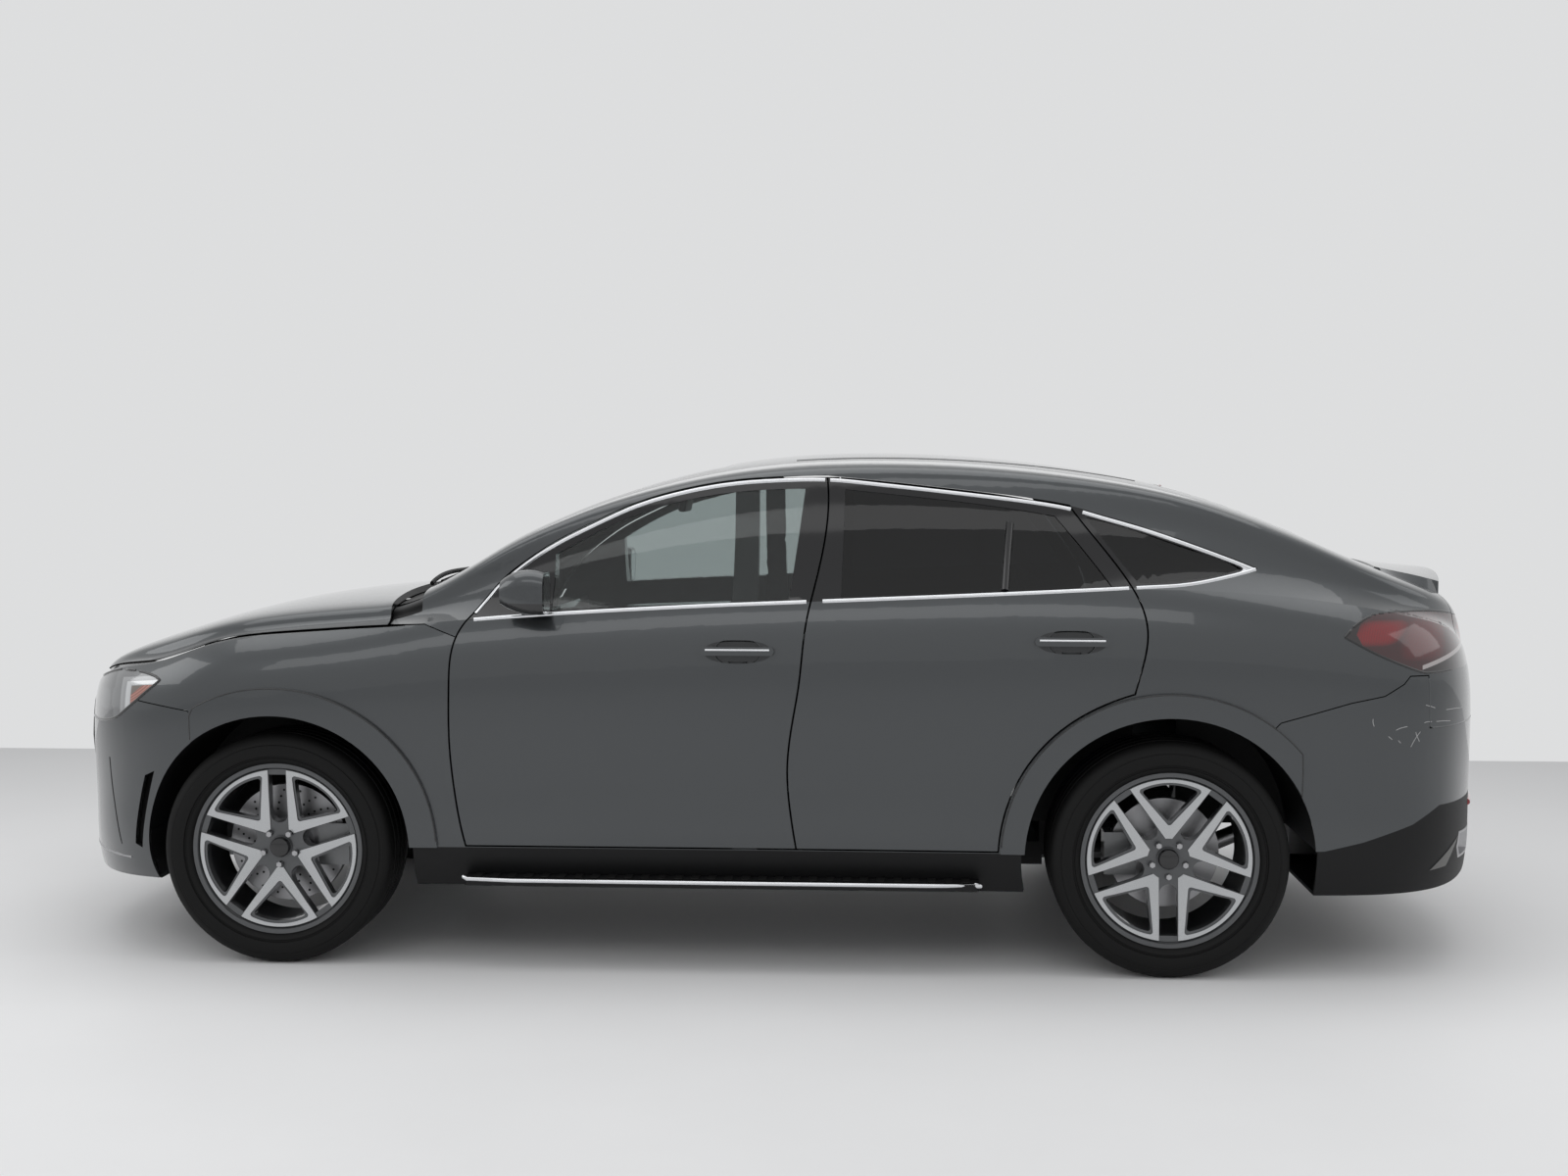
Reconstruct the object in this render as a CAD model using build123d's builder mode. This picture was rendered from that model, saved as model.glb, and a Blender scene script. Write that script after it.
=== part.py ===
from build123d import *
import math
import os

# Overall size in mm: +X forward, +Y left, +Z up, ground at Z = 0
LENGTH = 4961.0
NOSE_X = LENGTH / 2
TAIL_X = -LENGTH / 2
WHEELBASE = 2935.0
FRONT_AXLE_X = NOSE_X - 870.0
REAR_AXLE_X = FRONT_AXLE_X - WHEELBASE

# Wheels and arches
TYRE_R = 385.0
GROOVE = 8.0
RIM_R = 286.0
FRONT_TRACK = 834.0
REAR_TRACK = 838.0
FRONT_TYRE_W = 275.0
REAR_TYRE_W = 315.0
FRONT_ARCH_R = 452.0
REAR_ARCH_R = 466.0
FLARE_R = 544.0
FLARE_OUT = 12.0
WELL_Y = 486.0
LINER = 9.0

# Door handles: centres from the side, bar and the hollow behind it
FRONT_HANDLE = (71.0, 1058.0)
REAR_HANDLE = (-1003.0, 1095.0)
HANDLE_L = 238.0
HANDLE_H = 28.0
HANDLE_OUT = 26.0

# Panel thicknesses and gaps
DOOR_T = 110.0
FRAME_T = 46.0
FENDER_T = 9.0
LEAD_T = 6.0
LEAD_L = 44.0
TRAIL_T = 14.0
LIP_T = 46.0
SHUT = 6.0
SEAM = 3.5
FIT = 0.15
PIN_FIT = 0.08

# Door hinges: vertical axes ahead of each door's front edge
DOOR_F_AXIS = (1096.0, 944.0)
DOOR_R_AXIS = (0.0, 938.0)
FRONT_HINGE_Z = (600.0, 960.0)
REAR_HINGE_Z = (560.0, 850.0)
PIN_R = 6.0
BARREL_R = 11.0
BARREL_H = 34.0

# Hood and tailgate hinges: axes across the car (x, z)
HOOD_AXIS = (1225.0, 1150.0)
GATE_AXIS = (-1215.0, 1575.0)
HOOD_HINGE_Y = 690.0
GATE_HINGE_Y = 380.0

SILL_Z = 400.0
JACK_X = (780.0, -620.0)
JACK_Y = 780.0
JACK_Z = 251.0
DOOR_Z = 405.0
FLOOR_Z = 345.0 + FIT


def guide(*knots):
    """Return a smooth curve through (x, value) knots with no overshoot."""
    pts = sorted(knots)
    xs = [p[0] for p in pts]
    vs = [p[1] for p in pts]
    h = [b - a for a, b in zip(xs, xs[1:])]
    d = [(b - a) / c for a, b, c in zip(vs, vs[1:], h)]
    m = [d[0]]
    for i in range(1, len(d)):
        if d[i - 1] * d[i] <= 0:
            m.append(0.0)
        else:
            w1 = 2 * h[i] + h[i - 1]
            w2 = h[i] + 2 * h[i - 1]
            m.append((w1 + w2) / (w1 / d[i - 1] + w2 / d[i]))
    m.append(d[-1])

    def at(x):
        x = min(max(x, xs[0]), xs[-1])
        i = max(j for j in range(len(h)) if x >= xs[j])
        t = (x - xs[i]) / h[i]
        a = (2 * t**3 - 3 * t**2 + 1) * vs[i] + (t**3 - 2 * t**2 + t) * h[i] * m[i]
        return a + (3 * t**2 - 2 * t**3) * vs[i + 1] + (t**3 - t**2) * h[i] * m[i + 1]

    return at


# Guide curves of the body along its length
half_width = guide((2480, 985), (1610, 996), (900, 982), (0, 980), (-700, 986), (-1325, 1002),
                   (-1900, 985), (-2480, 975))
top_z = guide((2480.5, 640), (2474, 730), (2460, 815), (2436, 890), (2400, 935), (2340, 982),
              (2200, 1043), (2046, 1097), (1854, 1150), (1663, 1184), (1435, 1209), (1260, 1226),
              (1200, 1244), (1019, 1330), (869, 1421), (719, 1494), (569, 1557), (420, 1607),
              (272, 1645), (88, 1680), (-132, 1702), (-315, 1708), (-571, 1703), (-753, 1692),
              (-971, 1668), (-1188, 1634), (-1332, 1604), (-1531, 1544), (-1657, 1499),
              (-1837, 1422), (-2017, 1343), (-2150, 1296), (-2260, 1262), (-2330, 1225),
              (-2368, 1150), (-2405, 1040), (-2436, 940), (-2460, 850), (-2474, 740),
              (-2480.5, 660))
belt_z = guide((2480.5, 560), (2460, 700), (2430, 800), (2380, 880), (2330, 920), (2258, 955),
               (2020, 1003), (1861, 1055), (1608, 1096), (1308, 1120), (1174, 1132), (963, 1152),
               (680, 1172), (244, 1197), (-140, 1214), (-711, 1239), (-1195, 1258), (-1400, 1256),
               (-1650, 1240), (-1900, 1208), (-2100, 1170), (-2250, 1125), (-2340, 1050),
               (-2400, 950), (-2440, 850), (-2465, 750), (-2480.5, 600))
floor_z = guide((2480.5, 310), (2440, 262), (2300, 255), (2000, 265), (-1800, 265), (-2200, 275),
                (-2400, 300), (-2480.5, 400))
belt_in = guide((2480.5, 30), (2300, 70), (2020, 75), (1608, 88), (1000, 52), (0, 42), (-700, 44),
                (-1325, 62), (-1900, 95), (-2250, 100), (-2480.5, 60))
lip_z = guide((-1980, 1358), (-2040, 1336), (-2220, 1306), (-2346, 1293), (-2420, 1288))
cabin_share = guide((2480.5, 0), (1300, 0), (1150, 0.25), (900, 0.8), (600, 1), (-1200, 1),
                    (-1700, 0.75), (-2100, 0.35), (-2300, 0.1), (-2480.5, 0))
STATIONS = (2480.5, 2474, 2460, 2436, 2400, 2340, 2260, 2160, 2020, 1860, 1660, 1460, 1320, 1262,
            1225, 1195, 1150, 1080, 980, 860, 720, 560, 380, 180, -60, -320, -600, -880, -1140,
            -1380, -1600, -1800, -1980, -2120, -2220, -2300, -2350, -2390, -2423, -2449, -2467,
            -2477.3)
LIP_STATIONS = (-1980, -2060, -2140, -2220, -2300, -2360, -2410)
SIDE_KNOTS = [0.0, 0.18, 0.38, 0.66, 0.89, 1.0]
TOP_KNOTS = [0.0, 0.22, 0.34, 0.5, 0.66, 0.78, 1.0]


def plan_corner(x):
    """Return the share of full width left where the plan rounds to nose or tail."""
    if x > 1650:
        return (1 - ((x - 1650) / 835) ** 2.8) ** (1 / 2.3)
    if x < -1750:
        return (1 - ((-1750 - x) / 735) ** 4.2) ** (1 / 1.5)
    return 1.0


def half_section(x, side, upper, bottom):
    """Return the lower-side and upper points of the left half of a section."""
    c = plan_corner(x)
    w = half_width(x) * c
    zf = floor_z(x) + bottom
    zb = belt_z(x)
    rise = zb - zf
    yb = w - belt_in(x) * c
    low = [(w - 74 * c - side * 0.8, zf), (w - 20 * c - side, zf + 0.17 * rise),
           (w - 16 * c - side, zf + 0.36 * rise), (w - side, zf + 0.64 * rise),
           (w - 0.22 * (w - yb) - side, zf + 0.90 * rise), (yb - side, zb)]
    k = cabin_share(x)
    head = top_z(x) - zb
    yd = yb - 0.336 * head * k - (1 - k) * 0.13 * yb
    yr = yd - 120 * k - (1 - k) * 0.14 * yb
    frame = (yd - upper * 0.87, zb + head * (0.5 + 0.3 * k) - upper * 0.5)
    rail = (yr - upper * 0.45, zb + head * (0.8 + 0.13 * k) - upper * 0.9)
    return low, [low[-1], frame, rail, (0.0, zb + head - upper)]


def section(x, side, upper, bottom):
    """Return one closed cross-section face."""
    low, up = half_section(x, side, upper, bottom)
    over = up + [(-y, z) for y, z in up[-2::-1]]
    with BuildSketch(Plane.YZ.offset(x)) as sk:
        with BuildLine():
            Line((-low[0][0], low[0][1]), low[0])
            add(Edge.make_spline([(y, z, 0) for y, z in low], parameters=SIDE_KNOTS))
            add(Edge.make_spline([(y, z, 0) for y, z in over], parameters=TOP_KNOTS))
            add(Edge.make_spline([(-y, z, 0) for y, z in low[::-1]],
                                 parameters=[1 - k for k in SIDE_KNOTS[::-1]]))
        make_face()
    return sk.sketch


def body(side=0.0, upper=None, bottom=None, front=NOSE_X + 1, back=TAIL_X - 1):
    """Return the body form set in by the given amounts between two ends."""
    upper = side if upper is None else upper
    bottom = side if bottom is None else bottom
    with BuildPart() as bp:
        loft([section(x, side, upper, bottom) for x in STATIONS if back < x < front])
    return bp.part


def lip_body():
    """Return the tail of the body with its top drawn out flat for the lip."""
    with BuildPart() as bp:
        loft([section(x, 0.0, top_z(x) - lip_z(x), 0.0) for x in LIP_STATIONS])
    return bp.part


def carve(base, keep=(), cut=(), plus=()):
    """Return base with the kept overlaps, the cuts and the additions made."""
    with BuildPart() as bp:
        add(base)
        for tool in keep:
            add(tool, mode=Mode.INTERSECT)
        for tool in cut:
            add(tool, mode=Mode.SUBTRACT)
        for tool in plus:
            add(tool)
    return bp.part


def block(x0, x1, y0, y1, z0, z1):
    """Return a box between two corners."""
    with BuildPart() as bp:
        with Locations(((x0 + x1) / 2, (y0 + y1) / 2, (z0 + z1) / 2)):
            Box(abs(x1 - x0), abs(y1 - y0), abs(z1 - z0))
    return bp.part


def rod(p, q, r):
    """Return a round bar between two points."""
    a = Vector(*p)
    b = Vector(*q)
    with BuildPart() as bp:
        with BuildSketch(Plane(origin=a, z_dir=b - a)):
            Circle(r)
        extrude(amount=(b - a).length)
    return bp.part


def meet(p, u, q, v):
    """Return where two lines cross, or the middle of p and q if they run alike."""
    det = u[0] * v[1] - u[1] * v[0]
    if abs(det) < 0.05:
        return ((p[0] + q[0]) / 2, (p[1] + q[1]) / 2)
    t = ((q[0] - p[0]) * v[1] - (q[1] - p[1]) * v[0]) / det
    return (p[0] + u[0] * t, p[1] + u[1] * t)


def grown(pieces, d):
    """Return a closed outline moved outward by d, its pieces met at the corners."""
    ring = [p for piece in pieces for p in piece[:-1]]
    area = sum(a[0] * b[1] - b[0] * a[1] for a, b in zip(ring, ring[1:] + ring[:1]))
    turn = d if area > 0 else -d
    moved = []
    for piece in pieces:
        ways = []
        last = len(piece) - 1
        for i in range(last + 1):
            a = piece[max(i - 1, 0)]
            b = piece[min(i + 1, last)]
            n = math.dist(a, b)
            ways.append(((b[0] - a[0]) / n, (b[1] - a[1]) / n))
        moved.append(([(p[0] + turn * w[1], p[1] - turn * w[0]) for p, w in zip(piece, ways)], ways))
    out = [list(points) for points, _ in moved]
    for i in range(len(out)):
        j = (i + 1) % len(out)
        corner = meet(moved[i][0][-1], moved[i][1][-1], moved[j][0][0], moved[j][1][0])
        out[i][-1] = corner
        out[j][0] = corner
    return out


def prism(plane, depth, pieces, grow=0.0):
    """Return a prism on a plane from outline pieces, two points a line, more a spline."""
    shape = grown(pieces, grow) if grow else pieces
    with BuildPart() as bp:
        with BuildSketch(plane):
            with BuildLine():
                for piece in shape:
                    if len(piece) == 2:
                        Line(*piece)
                    else:
                        Spline(*piece)
            make_face()
        extrude(amount=depth)
    return bp.part


def side_prism(pieces, y0=0.0, y1=1200.0, grow=0.0):
    """Return a prism seen from the side, on the left of the car."""
    return prism(Plane.XZ.offset(-y0), y0 - y1, pieces, grow)


def plan_prism(pieces, z0, z1, grow=0.0):
    """Return a prism seen from above."""
    return prism(Plane.XY.offset(z0), z1 - z0, pieces, grow)


def end_prism(pieces, x0, x1, grow=0.0):
    """Return a prism seen along the car."""
    return prism(Plane.YZ.offset(x0), x1 - x0, pieces, grow)


def loop(points):
    """Return line pieces that close a polygon."""
    return [(a, b) for a, b in zip(points, points[1:] + points[:1])]


def paired(part):
    """Return a left piece with its mirrored twin."""
    with BuildPart() as bp:
        add(part)
        mirror(about=Plane.XZ)
    return bp.part


def flipped(part):
    """Return the mirrored twin of a left piece."""
    with BuildPart() as bp:
        add(part)
        mirror(about=Plane.XZ, mode=Mode.REPLACE)
    return bp.part


def shifted(part, dx=0.0, dy=0.0, dz=0.0):
    """Return a moved copy."""
    return part.moved(Location((dx, dy, dz)))


def axle_drum(x, r, y0, y1):
    """Return a cylinder about a wheel axis."""
    return rod((x, y0, TYRE_R), (x, y1, TYRE_R), r)


nodes = {}

# Body forms
outer = body()
cabin = body(DOOR_T, FRAME_T, 80.0, front=1085, back=-2360)
bay = body(FRAME_T, FRAME_T, 60.0, front=1330, back=970)
skin_fender = body(FENDER_T)
skin_lead = body(LEAD_T)
skin_trail = body(TRAIL_T)
skin_pillar = body(30.0, 24.0, 0.0, front=1200, back=-700)
skin_glass = body(5.0)
skin_glass_in = body(10.0)
skin_hood = body(22.0)
skin_cover = body(12.0)
skin_lamp = body(60.0, front=2470, back=-2400)
flare_form = body(-FLARE_OUT)
flare_seat = body(-FIT)
handle_form = body(-HANDLE_OUT, front=400, back=-1400)
shell = carve(outer, cut=[cabin])
left = block(-3000, 3000, 0, 1300, -10, 2000)

# Side outlines, x and z
DOOR_FRONT = [(962, 1158), (1004, 1082), (1019, 937), (1021, 743), (1007, 581), (973, DOOR_Z)]
TOP_F = [(962, 1158), (909, 1228), (868, 1277), (784, 1345), (696, 1402), (590, 1457), (424, 1533),
         (276, 1577), (125, 1605), (-25, 1618), (-213, 1621)]
TOP_R = [(-213, 1621), (-416, 1602), (-694, 1571), (-880, 1548), (-1008, 1526)]
PILLAR = [(-213, 1621), (-168, 1231), (-152, 1158), (-127, 945), (-105, 817), (-89, 657),
          (-99, 529), (-118, DOOR_Z)]
DOOR_BACK = [(-1008, 1526), (-1100, 1406), (-1194, 1274), (-1228, 1202), (-1243, 1123),
             (-1234, 1044), (-1204, 927)]
ARC_R = FLARE_R + 6
ARC_A = math.degrees(math.atan2(927 - TYRE_R, -1204 - REAR_AXLE_X))


def rear_arc(angle, r=ARC_R):
    """Return a point on an arc about the rear wheel."""
    a = math.radians(angle)
    return (REAR_AXLE_X + r * math.cos(a), TYRE_R + r * math.sin(a))


ARC_END = math.degrees(math.asin((DOOR_Z - TYRE_R) / ARC_R))
ARC_PTS = [(-1204, 927)] + [rear_arc(ARC_A + (ARC_END - ARC_A) * i / 6) for i in range(1, 7)]
FRONT_DOOR = [DOOR_FRONT, [(973, DOOR_Z), (-118, DOOR_Z)], PILLAR[::-1], TOP_F[::-1]]
REAR_DOOR = [PILLAR, [(-118, DOOR_Z), ARC_PTS[-1]], ARC_PTS[::-1], DOOR_BACK[::-1], TOP_R[::-1]]
front_door_in = side_prism(FRONT_DOOR, 500, grow=-SHUT / 2)
front_door_out = side_prism(FRONT_DOOR, 500, grow=SHUT / 2)
rear_door_in = side_prism(REAR_DOOR, 500, grow=-SHUT / 2)
rear_door_out = side_prism(REAR_DOOR, 500, grow=SHUT / 2)

FRONT_WINDOW = [[(690, 1182), (690, 1362)],
                [(690, 1362), (590, 1418), (424, 1493), (276, 1538), (125, 1566), (-20, 1578), (-140, 1581)],
                [(-140, 1581), (-92, 1212)],
                [(-92, 1212), (244, 1204), (690, 1182)]]
REAR_WINDOW = [[(-262, 1224), (-272, 1579)],
               [(-272, 1579), (-416, 1564), (-694, 1533), (-960, 1492)],
               [(-960, 1492), (-1045, 1390), (-1138, 1264)],
               [(-1138, 1264), (-711, 1247), (-262, 1224)]]
QUARTER = [[(-1062, 1488), (-1130, 1396), (-1218, 1280)],
           [(-1218, 1280), (-1370, 1286), (-1486, 1304), (-1560, 1322)],
           [(-1560, 1322), (-1533, 1338), (-1392, 1388), (-1254, 1436), (-1116, 1476), (-1062, 1488)]]
front_window = side_prism(FRONT_WINDOW, 500)
rear_window_side = side_prism(REAR_WINDOW, 500)
quarter_window = side_prism(QUARTER, 500)

HOOD_SEAM = [(2520, 868), (2460, 885), (2400, 917), (2330, 948), (2258, 968), (2150, 986), (2020, 1008),
             (1861, 1062), (1608, 1101), (1308, 1123), (1180, 1132)]
HOOD_BACK = [(1235, 1000), (1262, 700), (1290, 400), (1300, 0), (1290, -400), (1262, -700), (1235, -1000)]
HOOD_SIDE = [HOOD_SEAM, [(1180, 1132), (1180, 1500)], [(1180, 1500), (2520, 1500)],
             [(2520, 1500), (2520, 868)]]
HOOD_PLAN = [HOOD_BACK, [(1235, -1000), (2600, -1000)], [(2600, -1000), (2600, 1000)],
             [(2600, 1000), (1235, 1000)]]
hood_side_in = side_prism(HOOD_SIDE, -1200, 1200, grow=-SHUT / 2)
hood_side_out = side_prism(HOOD_SIDE, -1200, 1200, grow=SHUT / 2)
hood_plan_in = plan_prism(HOOD_PLAN, 600, 1500, grow=-SHUT / 2)
hood_plan_out = plan_prism(HOOD_PLAN, 600, 1500, grow=SHUT / 2)
hood_zone = carve(hood_side_out, keep=[hood_plan_out])

LAMP = [[(2420, 905), (2330, 925), (2212, 962), (2100, 966), (2032, 956), (2006, 944)],
        [(2006, 944), (2060, 902), (2130, 850), (2200, 806), (2290, 788), (2420, 786)],
        [(2420, 786), (2420, 905)]]
lamp_in = side_prism(LAMP, 500, grow=-FIT)
lamp_out = side_prism(LAMP, 500 - FIT)
BUMPER_F = loop([(2600, 200), (2600, 900), (2092, 872), (1990, 860), (1896, 847), (1836, 802), (1770, 740),
                 (1770, 200)])
bumper_f_in = side_prism(BUMPER_F, -1200, 1200)
bumper_f_out = side_prism(BUMPER_F, -1200, 1200, grow=SEAM)
fender_zone = side_prism(loop([(2330, 1200), (1236, 1200), (1236, 1128), (1110, 1134), (1000, 1094),
                               (960, 1094), (960, SILL_Z), (2330, SILL_Z)]), 560)
fender_cut = side_prism(loop([(1300, 1200), (1236, 1200), (1236, 1128 + SEAM), (1110, 1134 + SEAM),
                              (1000, 1094 + SEAM), (960, 1094 + SEAM), (960, SILL_Z), (1300, SILL_Z)]), 560)

front_well = axle_drum(FRONT_AXLE_X, FRONT_ARCH_R, WELL_Y, 1300)
rear_well = axle_drum(REAR_AXLE_X, REAR_ARCH_R, WELL_Y, 1300)
front_wells = paired(front_well)
rear_clear = paired(axle_drum(REAR_AXLE_X, REAR_ARCH_R + LINER + FIT, WELL_Y - 6 - FIT, 1300))
front_clear = paired(axle_drum(FRONT_AXLE_X, FRONT_ARCH_R + LINER + FIT, WELL_Y - 6 - FIT, 1300))
rear_pocket = carve(skin_fender, keep=[rear_clear])
front_pocket = carve(skin_fender, keep=[front_clear])
rear_wells = paired(rear_well)

# Glass roof line, windscreen, rear window in plan
SCREEN = [[(1214, 0), (1205, 300), (1180, 560), (1140, 690)], [(1140, 690), (870, 672), (500, 640), (165, 606)],
          [(165, 606), (140, 300), (132, 0)], [(132, 0), (140, -300), (165, -606)],
          [(165, -606), (500, -640), (870, -672), (1140, -690)],
          [(1140, -690), (1180, -560), (1205, -300), (1214, 0)]]
screen_in = plan_prism(SCREEN, 1100, 1800, grow=-FIT)
screen_out = plan_prism(SCREEN, 1100, 1800)
ROOF_X0 = -1335.0
ROOF_X1 = 128.0
ROOF_Y = 600.0
roof_zone = block(ROOF_X0 + SHUT / 2, ROOF_X1 + 40, -ROOF_Y, ROOF_Y, 1450, 1800)
roof_cut = block(ROOF_X0 - 20, ROOF_X1 + 40, -ROOF_Y - FIT, ROOF_Y + FIT, 1450, 1800)
COWL = [[(1215, 0), (1206, 300), (1181, 560), (1141, 691)], [(1141, 691), (1141, 841)],
        [(1141, 841), (1248, 841)], [(1248, 841), (1262, 700), (1290, 400), (1300, 0)]]
cowl_half = plan_prism(COWL + [[(1300, 0), (1215, 0)]], 1000, 1500)

# Tailgate zone seen from behind
GATE_Y = 600.0
GATE = loop([(-GATE_Y, 1750), (-GATE_Y, 1010), (-560, 822), (560, 822), (GATE_Y, 1010), (GATE_Y, 1750)])
gate_in = carve(end_prism(GATE, TAIL_X - 80, ROOF_X0 - SHUT / 2, grow=0.0))
gate_out = end_prism(GATE, TAIL_X - 80, ROOF_X0 + SHUT / 2, grow=SHUT)
REAR_GLASS = [[(-1425, 0), (-1428, 300), (-1440, 528)], [(-1440, 528), (-1750, 545), (-2030, 540)],
              [(-2030, 540), (-2070, 300), (-2078, 0)], [(-2078, 0), (-2070, -300), (-2030, -540)],
              [(-2030, -540), (-1750, -545), (-1440, -528)], [(-1440, -528), (-1428, -300), (-1425, 0)]]
glass_r_in = plan_prism(REAR_GLASS, 1150, 1800, grow=-FIT)
glass_r_out = plan_prism(REAR_GLASS, 1150, 1800)

TAIL_LAMP = [[(-1868, 1110), (-1905, 1146), (-1960, 1174), (-2043, 1184), (-2200, 1180), (-2420, 1150)],
             [(-2420, 1150), (-2520, 1120)], [(-2520, 1120), (-2520, 1000)],
             [(-2520, 1000), (-2156, 996)], [(-2156, 996), (-2106, 1002), (-1974, 1054), (-1868, 1110)]]
LIP = [[(-2060, -560), (-2084, -300), (-2092, 0), (-2084, 300), (-2060, 560)], [(-2060, 560), (-2225, 574)],
       [(-2225, 574), (-2275, 560)], [(-2275, 560), (-2340, 300), (-2372, 0), (-2340, -300), (-2275, -560)],
       [(-2275, -560), (-2225, -574)], [(-2225, -574), (-2060, -560)]]
tail_in = side_prism(TAIL_LAMP, 560, grow=-FIT)
tail_out = side_prism(TAIL_LAMP, 560)
BUMPER_R = loop([(-2600, 200), (-2600, 815), (-2150, 815), (-2140, 985), (-2078, 985), (-2057, 960),
                 (-1994, 922), (-1889, 900), (-1776, 866), (-1668, 835), (-1600, 760), (-1600, 200)])
bumper_r_in = side_prism(BUMPER_R, -1200, 1200)
bumper_r_out = side_prism(BUMPER_R, -1200, 1200, grow=SEAM)
VALANCE = loop([(-2600, 200), (-2600, 560), (-2200, 560), (-2100, 505), (-1938, 450), (-1817, 420),
                (-1600, 410), (-1600, 200)])
valance_in = side_prism(VALANCE, -1200, 1200)
under_open = block(-1795, -1500, -1200, 1200, 100, 420)

# Floor, bulkheads and luggage floor, all one weld
floor_low = carve(outer, keep=[block(-955, 1140, -884, 884, 100, SILL_Z)], cut=[cabin, rear_clear])
luggage_floor = carve(block(-2285, -940, -590, 590, 640, 668), cut=[rear_clear])
rear_bulkhead = carve(block(-985, -945, -850, 850, 300, 668), cut=[rear_clear])
firewall = block(1088, 1126, -840, 840, 360, 1105)
jack_pads = [block(x - 45, x + 45, y - 28, y + 28, JACK_Z, 300) for x in JACK_X for y in (-JACK_Y, JACK_Y)]
nodes["floor_pan"] = carve(floor_low, plus=[rear_bulkhead, luggage_floor, firewall] + jack_pads)

# Roof
nodes["roof_panel"] = carve(outer, keep=[roof_zone], cut=[skin_trail, screen_out])

# Body sides: pillars, roof rails and quarter panels
gate_zone = gate_out
side_left = carve(shell, keep=[block(-2460, 1236, 0, 1300, SILL_Z, 1800)],
                  cut=[front_door_out, rear_door_out, roof_cut, screen_out, gate_zone, rear_well,
                       bumper_r_out, tail_out, hood_zone, fender_cut, quarter_window, bay, rear_pocket,
                       block(1141, 1300, 0, 842, 300, 1400)])
b_post = carve(skin_pillar, keep=[block(14, 94, 300, 1300, SILL_Z, 1700)], cut=[cabin])
a_post = carve(skin_pillar, keep=[block(1116, 1144, 842, 1300, SILL_Z, 1150)])

# Doors
lead_f = carve(skin_lead, keep=[block(980 - LEAD_L, 1100, 300, 1300, 300, 1150)])
trail_f = carve(skin_trail, keep=[block(-260, 104, 300, 1300, 300, 1700)])
front_door = carve(shell, keep=[front_door_in], cut=[lead_f, trail_f, front_window])
lead_r = carve(skin_lead, keep=[block(-150 - LEAD_L, 0, 300, 1300, 300, 1240)])
rear_door = carve(shell, keep=[rear_door_in], cut=[lead_r, rear_window_side])


def hinge_leaf(axis, z, elbow, seat):
    """Return a door's hinge arm: barrel about the axis, elbow, foot in the door."""
    with BuildPart() as bp:
        with BuildSketch(Plane.XY.offset(z - BARREL_H / 2)):
            with Locations(axis):
                Circle(BARREL_R)
            for p, q in ((axis, elbow), (elbow, seat)):
                with Locations(((p[0] + q[0]) / 2, (p[1] + q[1]) / 2)):
                    SlotCenterToCenter(math.dist(p, q), 12,
                                       rotation=math.degrees(math.atan2(q[1] - p[1], q[0] - p[0])))
            with Locations(axis):
                Circle(PIN_R + PIN_FIT, mode=Mode.SUBTRACT)
        extrude(amount=BARREL_H)
    return bp.part


def hinge_post(axis, z, reach):
    """Return the body's half of a hinge: pin, two lugs and the pad they stand on."""
    lug = 10.0
    x1 = axis[0] + reach
    with BuildPart() as bp:
        with Locations((axis[0], axis[1], z)):
            Cylinder(PIN_R, BARREL_H + 2 * lug)
        for side in (-1, 1):
            zc = z + side * (BARREL_H / 2 + FIT + lug / 2)
            with Locations((axis[0], axis[1], zc)):
                Cylinder(BARREL_R, lug)
            with Locations(((axis[0] + x1) / 2, axis[1] - 22, zc)):
                Box(x1 - axis[0], 2 * BARREL_R + 36, lug)
    return bp.part


f_leaves = [hinge_leaf(DOOR_F_AXIS, z, (1056, 861), (922, 905)) for z in FRONT_HINGE_Z]
r_leaves = [hinge_leaf(DOOR_R_AXIS, z, (-51, 826), (-215, 900)) for z in REAR_HINGE_Z]
f_posts = [hinge_post(DOOR_F_AXIS, z, 30) for z in FRONT_HINGE_Z]
r_posts = [hinge_post(DOOR_R_AXIS, z, 30) for z in REAR_HINGE_Z]
nodes["body_sides"] = paired(carve(side_left, plus=[b_post, a_post] + f_posts + r_posts))


def side_slot(at, length, height):
    """Return a round-ended prism seen from the side."""
    with BuildPart() as bp:
        with BuildSketch(Plane.XZ.offset(-700)):
            with Locations(at):
                SlotOverall(length, height)
        extrude(amount=-500)
    return bp.part


def with_handle(door, at):
    """Return a door with its pull handle on two feet over a shallow hollow."""
    hollow = carve(side_slot((at[0], at[1] - 4), 150, 74), cut=[skin_fender])
    bar = carve(handle_form, keep=[side_slot(at, HANDLE_L, HANDLE_H)], cut=[flare_form])
    feet = [carve(handle_form, keep=[side_slot((at[0] + dx, at[1]), 36, HANDLE_H - 4)], cut=[skin_cover])
            for dx in (-96, 96)]
    return carve(door, cut=[hollow], plus=[bar] + feet)


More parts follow.
